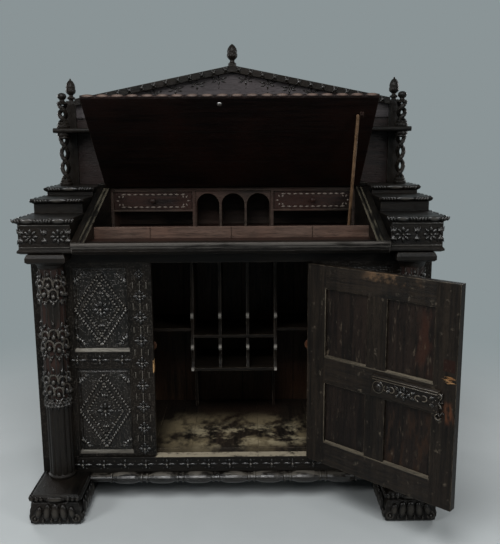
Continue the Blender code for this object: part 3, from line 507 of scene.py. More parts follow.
def halfEgg(length, width, height, around=10, rings=8, taper=1.0, sharp=1.0):
    # carved lobe lying along Y, standing up in Z; taper narrows its foot, sharp its tip
    bpy.ops.object.select_all(action="DESELECT")
    bpy.ops.mesh.primitive_uv_sphere_add(segments=around, ring_count=rings, radius=1)
    obj = bpy.context.object
    cutGround(obj, 0.2)
    for end, narrow in ((-1, taper), (1, sharp)):
        if narrow != 1.0:
            pickVerts(obj, lambda p: end * p.y > 0.35)
            bpy.ops.transform.resize(value=(narrow, 1, narrow), center_override=(0, 0, 0))
            leaveEdit()
    obj.scale = (width / 2, length / 2, height)
    return markRise(settle(obj))


def ringBand(radius, thick, around=16, tube=6):
    bpy.ops.object.select_all(action="DESELECT")
    bpy.ops.mesh.primitive_torus_add(major_segments=around, minor_segments=tube, major_radius=radius,
                                     minor_radius=thick)
    obj = bpy.context.object
    cutGround(obj, 0.2 * thick)
    return markRise(obj)


def block(size, at):
    bpy.ops.object.select_all(action="DESELECT")
    bpy.ops.mesh.primitive_cube_add(size=1, location=at, scale=size)
    return settle(bpy.context.object)


def easeTop(obj, bevel):
    pickFaces(obj, lambda c, n: n.z > 0.9)
    bpy.ops.mesh.bevel(offset=bevel, segments=2, affect="EDGES")
    leaveEdit()
    return obj


def strip(sizeX, sizeY, sizeZ, bevel):
    # bar on the ground, edges eased
    return markRise(easeTop(block((sizeX, sizeY, sizeZ), (0, 0, sizeZ / 2)), bevel))


def wedge(size, at, out, drop):
    # sill with its outer top edge let down; out is -1 or 1 along Y
    sill = block(size, at)
    pickVerts(sill, lambda p: out * (p.y - at[1]) > 0 and p.z > at[2])
    bpy.ops.transform.translate(value=(0, 0, -drop))
    leaveEdit()
    return markRise(sill)


def seat(origin, right, up, turn=0.0, scale=even):
    # place on a face: right and up lie in it, the lobe stands out of it
    place = Matrix((right, up, right.cross(up))).transposed().to_4x4()
    place.translation = origin
    return place @ Matrix.Rotation(turn, 4, "Z") @ Matrix.Diagonal((*scale, 1))


def front(x, y, z, turn=0.0, scale=even):
    return seat(Vector((x, y, z)), xAxis, zAxis, turn, scale)


def turned(angle, reach):
    return Matrix.Rotation(angle, 4, "Z") @ Matrix.Translation((0, reach, 0))


def spread(blank, places):
    # copies of one blank, each its own mesh, joined
    copies = []
    for place in places:
        copy = blank.copy()
        copy.data = blank.data.copy()
        copy.matrix_world = place
        bpy.context.collection.objects.link(copy)
        copies.append(copy)
    only(*copies)
    bpy.ops.object.transform_apply(location=True, rotation=True, scale=True)
    return joined(copies)


def laid(blank, places):
    # spread a blank that isn't used again
    piece = spread(blank, places)
    discard(blank)
    return piece


def gather(name, parts, finish, body, turn=None):
    # one carved piece from its parts, in place
    piece = joined(parts)
    if turn is not None:
        piece.matrix_world = turn
        settle(piece)
    piece.name = name
    piece.data.name = name
    only(piece)
    bpy.ops.object.mode_set(mode="EDIT")
    bpy.ops.mesh.select_all(action="SELECT")
    bpy.ops.mesh.normals_make_consistent(inside=False)
    leaveEdit()
    bpy.ops.object.shade_smooth_by_angle(angle=math.radians(40))
    piece.data.materials.clear()
    piece.data.materials.append(finish)
    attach(piece, body)
    return piece


# flowers made once: petals round a bead
flowerWork = {"petal": (0.023, 0.0125, 0.0056), "reach": 0.0140, "bead": 0.0130, "odd": 0.55}
starWork = {"long": (0.034, 0.0105, 0.0056, 8, 6, 0.8, 0.35), "longReach": 0.020,
            "short": (0.018, 0.010, 0.0048, 8, 6, 0.7, 0.8), "shortReach": 0.0115,
            "bead": (0.0130, 0.0130, 0.0104, 8, 6), "dot": (0.0055, 0.0055, 0.0032, 6, 4), "dotX": 0.013, "dotY": 0.015}


def roundFlower(count, sizes, reach, bead, odd=1.0):
    # every other petal is smaller by odd
    petal = halfEgg(*sizes, taper=0.55)
    eye = halfEgg(bead, bead, bead * 0.75, 8, 6)
    places = []
    for k in range(count):
        size = odd if k % 2 else 1.0
        places.append(turned(2 * math.pi * k / count, reach) @ Matrix.Diagonal((size, size, size, 1)))
    return remark(joined([laid(petal, places), eye]))


def crossStar(s):
    # long petals left and right, short ones up and down, four dots
    corners = [Matrix.Translation((i * s["dotX"], j * s["dotY"], 0)) for i in (-1, 1) for j in (-1, 1)]
    return remark(joined([
        laid(halfEgg(*s["long"]), [turned(a, s["longReach"]) for a in (quarterTurn, -quarterTurn)]),
        laid(halfEgg(*s["short"]), [turned(a, s["shortReach"]) for a in (0, halfTurn)]),
        laid(halfEgg(*s["dot"]), corners), halfEgg(*s["bead"])]))


flower = roundFlower(8, flowerWork["petal"], flowerWork["reach"], flowerWork["bead"], flowerWork["odd"])
star = crossStar(starWork)
tinyDot = halfEgg(0.0055, 0.0055, 0.0035, 6, 4)
print("flowers cut")

# front frames: flowers up the inner stiles, stars along the rails and the plinth
frontWork = {"y": -0.0718, "stileX": 0.3245, "stalk": (0.028, 0.0026, 0.0022, 0.0008), "stalkUp": 0.040,
             "stalks": ((-0.024, (0.8, 1, 0.5)), (0.0, even), (0.024, (0.8, 1, 0.5))),
             "flowerZ": (0.848, 0.768, 0.691, 0.606, 0.523, 0.438, 0.358, 0.277, 0.196), "topFlower": (0.7, 0.7, 0.8),
             "starX": (0.395, 0.475, 0.555), "starZ": 0.536, "plinthStep": 0.0768, "plinthX": -0.0148,
             "plinthY": -0.0818, "plinthZ": 0.1395, "plinthDotUp": 0.014}
flowers, dots, stars, stalks = [], [], [], []
for word, s in sides:
    for k, z in enumerate(frontWork["flowerZ"]):
        x = s * frontWork["stileX"]
        flowers.append(front(x, frontWork["y"], z, 0.0, even if k else frontWork["topFlower"]))
        if k:
            for aside, scale in frontWork["stalks"]:
                stalks.append(front(x + aside, frontWork["y"], z + frontWork["stalkUp"], quarterTurn, scale))
    for x in frontWork["starX"]:
        stars.append(front(s * x, frontWork["y"], frontWork["starZ"]))
for k in range(-7, 8):
    x = frontWork["plinthX"] + k * frontWork["plinthStep"]
    stars.append(front(x, frontWork["plinthY"], frontWork["plinthZ"]))
    if k < 7:
        dots.append(front(x + frontWork["plinthStep"] / 2, frontWork["plinthY"],
                          frontWork["plinthZ"] + frontWork["plinthDotUp"]))
stalk = strip(*frontWork["stalk"])
gather("frontFlowers", [spread(flower, flowers), spread(tinyDot, dots), laid(stalk, stalks)], oakCarved, "case")
gather("frontStars", [spread(star, stars)], oakCarved, "case")
print("front flowers set")

# panels: double notched lozenge, flower and sprigs in the middle, leaf spray in each corner
panelWork = {"x": 0.464, "y": -0.0678, "spans": ((0.566, 0.875), (0.179, 0.506)), "halfX": 0.091, "margin": 0.023}
lozengeWork = {"notch": (0.0175, 0.0105, 0.0068, 7, 6, 0.8, 0.55), "count": 14, "rowGap": 0.0225, "lean": 0.85,
               "leaf": (0.029, 0.013, 0.0058, 8, 6, 0.6, 0.4), "petal": (0.027, 0.0140, 0.0066), "petalReach": 0.0190,
               "bead": 0.0150, "odd": 0.75, "cornerX": 0.004, "cornerZ": 0.006, "sprayReach": 0.022,
               "spray": ((-0.80, 1.1), (-0.27, 0.9), (0.27, 0.9), (0.80, 1.1)),
               "dots": 12, "dotX": 0.036, "dotZ": 0.042, "dotScale": (1.3, 1.3, 1.3),
               "crownReach": 0.060, "crownLeans": (-0.4, 0.0, 0.4), "crownScale": (0.8, 0.8, 1),
               "sprigs": ((0.050, 0.002, quarterTurn, (0.35, 1.0, 0.9)), (0.026, -0.050, 0.9, (0.7, 0.8, 0.9)),
                          (0.026, 0.050, 2.2, (0.7, 0.8, 0.9)))}
notch = halfEgg(*lozengeWork["notch"])
leafLobe = halfEgg(*lozengeWork["leaf"])
middleFlower = roundFlower(8, lozengeWork["petal"], lozengeWork["petalReach"], lozengeWork["bead"], lozengeWork["odd"])


def lozenge(cx, cz, halfX, halfZ, y):
    # parts of one panel's carving round its middle
    p = lozengeWork
    notches, leaves, dots = [], [], []
    for sx in (-1, 1):
        for sz in (-1, 1):
            a, b = Vector((sx * halfX, 0.0)), Vector((0.0, sz * halfZ))
            run = (b - a).normalized()
            out = Vector((sx * halfZ, sz * halfX)).normalized()
            for row, lean in ((0, -p["lean"]), (1, p["lean"])):
                turn = math.atan2(run.y, run.x) - quarterTurn + lean * sx * sz
                for k in range(row, p["count"] - row):  # the inner row leaves out both ends
                    spot = a.lerp(b, (k + 0.5) / p["count"]) - out * (row * p["rowGap"])
                    notches.append(front(cx + spot.x, y, cz + spot.y, turn))
            aim = math.atan2(-sz, -sx)
            for turn, size in p["spray"]:
                reach = p["sprayReach"] * size
                x = cx + sx * (halfX - p["cornerX"]) + reach * math.cos(aim + turn)
                z = cz + sz * (halfZ - p["cornerZ"]) + reach * math.sin(aim + turn)
                leaves.append(front(x, y, z, aim - quarterTurn + turn, (size, size, 1)))
    for k in range(p["dots"]):
        a = 2 * math.pi * k / p["dots"]
        dots.append(front(cx + p["dotX"] * math.cos(a), y, cz + p["dotZ"] * math.sin(a), 0.0, p["dotScale"]))
    for a in (0, halfTurn):
        for lean in p["crownLeans"]:
            bow = a + 0.35 * lean
            leaves.append(front(cx + p["crownReach"] * math.sin(bow), y, cz + p["crownReach"] * math.cos(bow),
                                -a - lean, p["crownScale"]))
    for sx in (-1, 1):
        for aside, up, turn, scale in p["sprigs"]:
            leaves.append(front(cx + sx * aside, y, cz + up, sx * turn, scale))
    return [spread(notch, notches), spread(leafLobe, leaves), spread(tinyDot, dots),
            spread(middleFlower, [front(cx, y, cz)])]


for word, s in sides:
    parts = []
    for low, high in panelWork["spans"]:
        parts += lozenge(s * panelWork["x"], (low + high) / 2, panelWork["halfX"],
                         (high - low) / 2 - panelWork["margin"], panelWork["y"])
    gather("panelCarving_" + word, parts, oakCarved, "case")
print("panels carved")

# sloped sill and thin moulding round each fixed panel
sillWork = {"wide": 0.195, "deep": 0.0078, "tall": 0.014, "drop": 0.0115, "beadY": -0.0645, "beadX": 0.0955,
            "beadTop": 0.0025, "beadWide": 0.004, "beadTall": 0.0065, "beadBevel": 0.0018}
beads, sills = [], []
for word, s in sides:
    x = s * panelWork["x"]
    for low, high in panelWork["spans"]:
        sills.append(wedge((sillWork["wide"], sillWork["deep"], sillWork["tall"]),
                           (x, panelWork["y"], low + sillWork["tall"] / 2), -1, sillWork["drop"]))
        upright = high - low - sillWork["tall"]
        middle = (low + high + sillWork["tall"]) / 2
        for beadX, z, long, turn in ((x - sillWork["beadX"], middle, upright, quarterTurn),
                                     (x + sillWork["beadX"], middle, upright, quarterTurn),
                                     (x, high - sillWork["beadTop"], sillWork["wide"], 0.0)):
            bead = strip(long, sillWork["beadWide"], sillWork["beadTall"], sillWork["beadBevel"])
            beads.append(laid(bead, [front(beadX, sillWork["beadY"], z, turn)]))
gather("panelMoulding", sills, oakWornSill, "case")
gather("panelBeads", beads, oakBlackX, "case")
print("panel mouldings laid")

# columns: leafy collar and three clusters of hooded fruit on the upper shaft, fillets between the flutes
columnWork = {"x": 0.6245, "y": -0.0938, "radius": 0.0415, "clusters": ((0.806, 1.0), (0.620, 1.25), (0.458, 1.20)),
              "step": 0.70, "wave": 0.004, "collarZ": 0.392, "collarStep": 0.29, "reeds": 12, "fillet": (0.400, 0.872),
              "fruit": (0.026, 0.019, 0.0125, 10, 8, 0.85, 0.9), "small": (0.015, 0.012, 0.009, 8, 6),
              "leaf": (0.034, 0.014, 0.0075, 8, 6, 0.6, 0.35), "hood": (0.0150, 0.0042, 16, 6),
              "hoodScale": (1.0, 1.15, 1.0), "leafScale": (0.8, 0.85, 1)}
fruit = halfEgg(*columnWork["fruit"])
smallFruit = halfEgg(*columnWork["small"])
leaf = halfEgg(*columnWork["leaf"])
hood = ringBand(*columnWork["hood"])
pickFaces(hood, lambda c, n: c.y < -0.003)
bpy.ops.mesh.delete(type="FACE")
bpy.ops.mesh.select_all(action="SELECT")
bpy.ops.mesh.fill_holes(sides=0)
leaveEdit()
fillet = strip(columnWork["fillet"][1] - columnWork["fillet"][0], 0.0046, 0.0030, 0.0014)


def onShaft(s, angle, z, turn=0.0, scale=even, proud=0.0):
    c = columnWork
    out = Vector((math.sin(angle), -math.cos(angle), 0))
    spot = Vector((s * c["x"], c["y"], z)) + out * (c["radius"] + proud)
    return seat(spot, Vector((math.cos(angle), math.sin(angle), 0)), zAxis, turn, scale)


for word, s in sides:
    c = columnWork
    fruits, smalls, leaves, hoods, fillets = [], [], [], [], []
    for level, (z, tall) in enumerate(c["clusters"]):
        for k in range(-2, 3):
            flip = (-1) ** k
            a = k * c["step"] + 0.20 * (level % 2)
            b = a + c["step"] / 2
            high, low = z + c["wave"] * flip, z - c["wave"] * flip
            fruits += [onShaft(s, a, high + 0.012 * tall), onShaft(s, b, low - 0.020 * tall)]
            hoods += [onShaft(s, a, high + 0.020 * tall, 0.0, c["hoodScale"]),
                      onShaft(s, b, low - 0.012 * tall, 0.0, c["hoodScale"])]
            smalls += [onShaft(s, a, high + 0.034 * tall, 0.0, (0.8, 0.8, 0.9)),
                       onShaft(s, a, high - 0.026 * tall, 0.0, (1.0, 1.1, 1.0))]
            leaves += [onShaft(s, a, high + 0.050 * tall, 0.35 * flip, c["leafScale"]),
                       onShaft(s, b, low + 0.036 * tall, -0.5 * flip, c["leafScale"])]
            for lean, down in ((-0.7, 0.042), (0.7, 0.042), (0.0, 0.050)):
                leaves.append(onShaft(s, b - 0.22 * lean, z - down * tall, halfTurn + lean, (0.85, 0.85, 1)))
    for k in range(-5, 6):
        a = k * c["collarStep"]
        leaves.append(onShaft(s, a, c["collarZ"] - 0.006, halfTurn + 0.1 * (-1) ** k, (1.15, 1.0, 1.0), 0.002))
        smalls.append(onShaft(s, a + c["collarStep"] / 2, c["collarZ"] + 0.007, 0.0, (0.8, 0.8, 0.7), 0.002))
    for k in range(-3, 3):
        turn = (k + 0.5) * 2 * math.pi / c["reeds"]
        fillets.append(onShaft(s, turn, sum(c["fillet"]) / 2, quarterTurn, even, -0.0015))
    gather("columnFruit_" + word, [spread(fruit, fruits), spread(smallFruit, smalls), spread(leaf, leaves),
                                   spread(hood, hoods)], oakFruit, "case")
    gather("columnFillets_" + word, [spread(fillet, fillets)], oakFillet, "case")
discard(fruit, smallFruit, fillet)
print("columns carved")

# step caps: ovals between slanted gadroons, on the front and the outer side
capWork = {"x": 0.6265, "fronts": (-0.1528, 0.0402, 0.2182), "tops": (1.050, 1.102, 1.133), "down": 0.0062,
           "back": 0.478, "outer": 0.725, "inset": 0.006, "frontRows": ("gggoggghhhohhh", "ggggglhhhhh", "ggggglhhhhh"),
           "sideRows": ("goggg", "lgggg", "lgggg"), "wide": {"o": 0.046, "l": 0.070, "g": 0.0098, "h": 0.0098},
           "turn": {"o": 0.0, "l": 0.0, "g": 0.55, "h": -0.55}}
oval = halfEgg(0.017, 0.044, 0.0042, 12, 8)
longOval = halfEgg(0.016, 0.066, 0.0042, 12, 8)
gadroon = halfEgg(0.018, 0.0088, 0.0040, 8, 6, 0.75, 0.75)


def nulled(start, right, pattern, length):
    # motifs along right from start: o oval, l long oval, g and h gadroons that lean either way
    row = []
    at = 0.0
    while at < length - 0.004:
        kind = pattern[len(row) % len(pattern)]
        wide = capWork["wide"][kind]
        if at + wide > length + 0.003:
            break
        row.append((kind, seat(start + right * (at + wide / 2), right, zAxis, capWork["turn"][kind])))
        at += wide
    return row


for word, s in sides:
    row = []
    for y, top, pattern, sidePattern in zip(capWork["fronts"], capWork["tops"], capWork["frontRows"],
                                            capWork["sideRows"]):
        z = top - capWork["down"]
        total = sum(capWork["wide"][kind] for kind in pattern)
        row += nulled(Vector((s * capWork["x"] - total / 2, y, z)), xAxis, pattern, total)
        ends = {1: y + capWork["inset"], -1: capWork["back"] - capWork["inset"]}
        row += nulled(Vector((s * capWork["outer"], ends[s], z)), Vector((0, s, 0)), sidePattern,
                      capWork["back"] - y - 2 * capWork["inset"])
    parts = []
    for blank, kinds in ((oval, "o"), (longOval, "l"), (gadroon, "gh")):
        parts.append(spread(blank, [place for kind, place in row if kind in kinds]))
    gather("capNulling_" + word, parts, oakNulled, "case")
discard(oval, longOval, gadroon)
print("caps nulled")

# lowest step blocks: rosettes between upright leaves in front, rosettes along the side
blockWork = {"x": 0.6265, "y": -0.1418, "z": 0.990, "roseX": 0.047, "leafX": (-0.0795, 0.0, 0.0795), "leafUp": 0.014,
             "leans": (-0.5, 0.0, 0.5), "leafScale": (0.8, 0.95, 1), "bar": (0.171, 0.0035, 0.003, 0.001),
             "barZ": (0.953, 1.0275), "sideX": 0.714, "sideY": -0.07, "sideStep": 0.14}
rosette = roundFlower(8, (0.022, 0.0105, 0.0055), 0.0165, 0.011)
for word, s in sides:
    b = blockWork
    x, y, z = s * b["x"], b["y"], b["z"]
    roses = [front(x + dx, y, z) for dx in (-b["roseX"], b["roseX"])]
    leaves = []
    for dx in b["leafX"]:
        for lean in b["leans"]:
            leaves.append(front(x + dx - 0.011 * lean, y, z + b["leafUp"], lean, b["leafScale"]))
            leaves.append(front(x + dx - 0.011 * lean, y, z - b["leafUp"], halfTurn - lean, b["leafScale"]))
    for k in range(4):
        spot = Vector((s * b["sideX"], b["sideY"] + b["sideStep"] * k, z))
        roses.append(seat(spot, Vector((0, s, 0)), zAxis))
    bars = laid(strip(*b["bar"]), [front(x, y, barZ) for barZ in b["barZ"]])
    gather("blockCarving_" + word, [spread(rosette, roses), spread(leaf, leaves), bars], oakNulled, "case")
discard(rosette, leaf)
print("step blocks carved")

# feet: oval boss between curling gadroons on the upper swell, lobes and toes below
footWork = {"x": 0.6125, "front": -0.2538, "topZ": 0.0985, "lowZ": 0.044, "sideX": 0.0865, "toeX": 0.0705, "toeZ": 0.026,
            "lobeStep": 0.0285, "lobes": ((0.85, 0.75), (0.95, 1.0), (1.1, 1.05), (0.95, 1.0), (0.85, 0.75)),
            "sideLobeY": 0.048, "sideLobeStep": 0.0300, "sideCurlY": 0.010, "sideCurlStep": 0.0170}
boss = halfEgg(0.021, 0.072, 0.0085, 14, 8)
curl = halfEgg(0.024, 0.0150, 0.0068, 8, 6, 0.8, 0.8)
lobe = halfEgg(0.062, 0.0300, 0.0105, 12, 8)
toe = ringBand(0.0115, 0.0052, 16, 8)
toeEye = halfEgg(0.014, 0.014, 0.0090, 10, 8)
for word, s in sides:
    f = footWork
    x, y = s * f["x"], f["front"]
    curls, lobes, toes = [], [], []
    for sx in (-1, 1):
        for k in range(3):
            curls.append(front(x + sx * (0.046 + 0.0160 * k), y + 0.002, f["topZ"] - 0.001, -sx * 0.45))
        toes.append(front(x + sx * f["toeX"], y + 0.003, f["toeZ"]))
    for k, (wide, tall) in enumerate(f["lobes"]):
        aside = (k - 2) * f["lobeStep"]
        lobes.append(front(x + aside, y + 0.001, f["lowZ"] + 0.004, 0.11 * (k - 2), (wide, tall, 1)))
        curls.append(front(x + aside + 0.0142, y + 0.001, 0.018, halfTurn, (0.8, 0.9, 1)))
    for out in (-1, 1):
        right = Vector((0, out, 0))
        proudX, sunkX = x + out * (f["sideX"] + 0.001), x + out * (f["sideX"] - 0.001)
        toes.append(seat(Vector((proudX, y + 0.020, f["toeZ"])), right, zAxis))
        for k in range(7 if out == s else 5):  # the inner side is shorter
            spot = Vector((proudX, y + f["sideLobeY"] + k * f["sideLobeStep"], f["lowZ"] + 0.003))
            lobes.append(seat(spot, right, zAxis, 0.10 * (-1) ** k))
        for k in range(14 if out == s else 9):
            spot = Vector((sunkX, y + f["sideCurlY"] + k * f["sideCurlStep"], f["topZ"]))
            curls.append(seat(spot, right, zAxis, 0.35))
    bosses = [front(x, y + 0.002, f["topZ"] - 0.002)]
    parts = [spread(boss, bosses), spread(curl, curls), spread(lobe, lobes), spread(toe, toes), spread(toeEye, toes)]
    gather("footCarving_" + word, parts, oakFootCarved, "case")
discard(boss, curl, lobe, toe, toeEye)
print("feet carved")

# pediment: leaves along the rake, cross flowers and dots on the panel
pedimentWork = {"rise": 0.128, "run": 0.6375, "end": 1.450, "rakeY": 0.4152, "rakeUp": 0.0133, "leaves": 13,
                "leafStart": 0.030, "leafStep": 0.0495, "panelY": 0.4372, "flowers": 6, "flowerX": 0.055,
                "flowerStep": 0.088, "flowerDown": 0.016, "dotDown": (0.034, 0.060),
                "petals": ((0.0, 0.010, 0.5), (halfTurn, 0.014, 0.7), (1.35, 0.022, 1.0), (-1.35, 0.022, 1.0),
                           (1.95, 0.020, 0.7), (-1.95, 0.020, 0.7))}
rakeLeaf = halfEgg(0.034, 0.017, 0.0065, 8, 6, 0.5, 0.5)
thinPetal = halfEgg(0.040, 0.0095, 0.0042, 8, 6, 0.8, 0.2)
p = pedimentWork
slope = math.atan2(p["rise"], p["run"])
leaves, petals, dots = [], [], []
for sx in (-1, 1):
    along = Vector((-sx * math.cos(slope), 0, math.sin(slope)))
    aim = math.atan2(along.z, along.x) - quarterTurn
    for k in range(p["leaves"]):
        foot = Vector((sx * p["run"], p["rakeY"], p["end"] + p["rakeUp"]))
        spot = foot + along * (p["leafStart"] + k * p["leafStep"])
        for lean in (-0.9, 0.9):
            leaves.append(front(*spot, aim + lean))
    for k in range(p["flowers"]):
        x = sx * (p["flowerX"] + k * p["flowerStep"])
        z = p["end"] - p["flowerDown"] + p["rise"] * (1 - abs(x) / p["run"])
        for turn, reach, long in p["petals"]:
            petals.append(front(x - math.sin(turn) * reach, p["panelY"], z + math.cos(turn) * reach, turn,
                                (0.9, long, 1)))
        dots.append(front(x, p["panelY"], z, 0.0, (1.5, 1.5, 1.5)))
        for down in p["dotDown"]:
            dots.append(front(x, p["panelY"], z - down))
gather("pedimentCarving", [laid(rakeLeaf, leaves), laid(thinPetal, petals), spread(tinyDot, dots)], oakFillet, "case")
print("pediment carved")

# lid: nulled front edge, round lock plate
lidWork = {"length": 0.4856, "half": 0.497, "thick": 0.016, "lobes": 20, "lock": (-0.035, 0.452)}
lidAlong = Vector((0, -math.cos(lidSlope), math.sin(lidSlope)))
lidUnder = Vector((0, -math.sin(lidSlope), -math.cos(lidSlope)))
lidLobe = halfEgg(0.015, 0.046, 0.0045, 12, 8)
edge = lidAxis + lidAlong * (lidWork["length"] - 0.0015) + lidUnder * (lidWork["thick"] / 2)
places = []
for k in range(lidWork["lobes"]):
    x = lidWork["half"] * (2 * (k + 0.5) / lidWork["lobes"] - 1)
    places.append(seat(edge + xAxis * x, xAxis, -xAxis.cross(lidAlong)))
gather("lidNulling", [laid(lidLobe, places)], oakLidEdge, "lid")
lockX, lockAlong = lidWork["lock"]
lockPlace = seat(lidAxis + xAxis * lockX + lidAlong * lockAlong + lidUnder * lidWork["thick"], xAxis, lidAlong)
plate = halfEgg(0.017, 0.017, 0.0022, 18, 8)
rim = ringBand(0.0072, 0.0014, 20, 6)
gather("lidLockPlate", [laid(plate, [lockPlace]), laid(rim, [lockPlace])], silver, "lid")
print("lid edged")

# drawers: gouge-cut border
drawerWork = {"x": 0.318, "y": 0.3082, "z": 1.0728, "rowZ": 0.025, "count": 11, "startX": 0.118, "step": 0.0236,
              "endX": 0.127, "endReach": (0.014, 0.019)}
gouge = halfEgg(0.0225, 0.0070, 0.0034, 8, 6, 0.8, 0.6)
for word, s in sides:
    d = drawerWork
    places = []
    for k in range(d["count"]):
        for sz in (-1, 1):
            places.append(front(s * d["x"] - d["startX"] + k * d["step"], d["y"], d["z"] + sz * d["rowZ"],
                                quarterTurn + 0.10 * (-1) ** k))
    for sx in (-1, 1):
        for k in range(-2, 3):
            a = math.radians(60 * k)
            x = s * d["x"] + sx * (d["endX"] + d["endReach"][0] * math.cos(a))
            places.append(front(x, d["y"], d["z"] + d["endReach"][1] * math.sin(a), sx * (a - quarterTurn),
                                (1.0, 0.6, 1.0)))
    gather("drawerBorder_" + word, [spread(gouge, places)], oakGouged, "drawer_" + word)
discard(gouge)
print("drawers bordered")

# door, laid out shut: carved outside like the fixed panels
doorWork = {"outY": -0.0718, "panelY": -0.0688, "inY": -0.0438, "barY": -0.0345, "sillY": -0.0479,
            "spans": ((0.2524, 0.470), (0.566, 0.8055)), "panelX": 0.1203, "halfX": 0.072, "margin": 0.024,
            "starZ": (0.2099, 0.518, 0.8455), "starStep": 0.0830, "stileX": 0.2425, "stileZ": 0.225, "stileStep": 0.083,
            "muntinZ": (0.305, 0.361, 0.417, 0.630, 0.686, 0.742)}
parts, stars, flowers = [], [], []
for sx in (-1, 1):
    for low, high in doorWork["spans"]:
        parts += lozenge(sx * doorWork["panelX"], (low + high) / 2, doorWork["halfX"],
                         (high - low) / 2 - doorWork["margin"], doorWork["panelY"])
    for k in range(8):
        flowers.append(front(sx * doorWork["stileX"], doorWork["outY"], doorWork["stileZ"] + k * doorWork["stileStep"]))
for z in doorWork["starZ"]:
    for k in range(-2, 3):
        stars.append(front(k * doorWork["starStep"], doorWork["outY"], z))
for z in doorWork["muntinZ"]:
    flowers.append(front(0.0, doorWork["outY"], z, 0.0, (0.8, 0.8, 0.9)))
gather("doorFrontCarving", parts + [spread(star, stars), spread(flower, flowers)], oakDoorFront, "door", doorTurn)


def doorInner(x, y, z, turn=0.0, scale=even):
    return seat(Vector((x, y, z)), -xAxis, zAxis, turn, scale)


# lock bar: boss, flower, scrolls and leaves between two lines, leafy end
barWork = {"line": (0.232, 0.0030, 0.0022, 0.0008), "lineZ": (0.5445, 0.5365), "flowerX": -0.112, "bossX": -0.018,
           "z": 0.512, "hoodScale": (0.62, 0.75, 0.5),
           "hoods": ((-0.163, 0.509, 1.3), (-0.181, 0.513, -1.5), (-0.050, 0.513, 1.57), (-0.066, 0.513, -1.57)),
           "leaves": ((-0.052, 0.518, 1.2), (-0.052, 0.505, 1.9), (-0.140, 0.505, 1.1), (-0.140, 0.520, 1.9),
                      (-0.086, 0.498, 2.3), (-0.086, 0.524, 0.9), (-0.205, 0.500, 1.4), (-0.205, 0.522, 1.8)),
           "endX": -0.2265, "endZ": 0.500, "endLeaves": 15, "endLeafScale": (0.70, 0.62, 2.1), "endHoodX": -0.230,
           "endHoods": ((-0.033, 2.2), (-0.004, 0.6), (0.030, -0.7)), "endHoodScale": (0.6, 0.7, 0.6)}
b, y, endY = barWork, doorWork["barY"], doorWork["inY"]
leaves = [doorInner(x, y, z, turn) for x, z, turn in b["leaves"]]
for k in range(b["endLeaves"]):  # wound out from the middle
    a, r = 2.4 * k, 0.0066 * math.sqrt(k + 0.4)
    leaves.append(doorInner(b["endX"] + 0.75 * r * math.cos(a), endY, b["endZ"] + 1.75 * r * math.sin(a), a + 0.6,
                            b["endLeafScale"]))
hoods = [doorInner(x, y, z, turn, b["hoodScale"]) for x, z, turn in b["hoods"]]
for up, turn in b["endHoods"]:
    hoods.append(doorInner(b["endHoodX"], endY + 0.006, b["endZ"] + up, turn, b["endHoodScale"]))
bossPlace = doorInner(b["bossX"], y, b["z"])
gather("barCarving", [laid(strip(*b["line"]), [doorInner(b["flowerX"], y, z) for z in b["lineZ"]]),
                      laid(ringBand(0.0195, 0.0026, 20, 6), [bossPlace]),
                      laid(halfEgg(0.029, 0.029, 0.0105, 14, 8), [bossPlace]), spread(hood, hoods),
                      spread(flower, [doorInner(b["flowerX"], y, b["z"])]), spread(leafLobe, leaves)],
       oakDoorCarved, "door", doorTurn)

# raw splinters where a latch was torn off, pale sills and lines round the inner panels
latchWork = {"sliver": (0.040, 0.0042, 0.0036, 6, 6, 0.5, 0.25), "count": 9, "x": -0.2555, "z": 0.5775, "step": 0.0026}
slivers = []
for k in range(latchWork["count"]):
    slivers.append(doorInner(latchWork["x"] + 0.006 * math.sin(5.1 * k), endY, latchWork["z"] + latchWork["step"] * k,
                             quarterTurn + 0.10 * math.sin(2.7 * k), (1, 0.55 + 0.55 * abs(math.sin(1.9 * k)), 1)))
gather("latchSplinters", [laid(halfEgg(*latchWork["sliver"]), slivers)], rawWood, "door", doorTurn)
doorSillWork = {"line": (0.412, 0.0042, 0.0012, 0.0004), "lineDown": 0.0022, "uprightX": 0.2052,
                "upright": (0.0026, 0.0010, 0.0003), "edges": ((-0.2035, -0.037), (0.037, 0.2035)),
                "deep": 0.0078, "tall": 0.005, "drop": 0.0036}
d = doorSillWork
sills = []
for low, high in doorWork["spans"]:
    sills.append(laid(strip(*d["line"]), [doorInner(0.0, endY, low - d["lineDown"])]))
    sills.append(laid(strip(high - low - 0.004, *d["upright"]),
                      [doorInner(d["uprightX"], endY, (low + high) / 2, quarterTurn)]))
    for left, right in d["edges"]:
        sills.append(wedge((right - left - 0.001, d["deep"], d["tall"]),
                           ((left + right) / 2, doorWork["sillY"], low + d["tall"] / 2), 1, d["drop"]))
gather("doorSills", sills, oakDoorSill, "door", doorTurn)
discard(flower, star, tinyDot, notch, leafLobe, middleFlower, hood)
print("door carved")

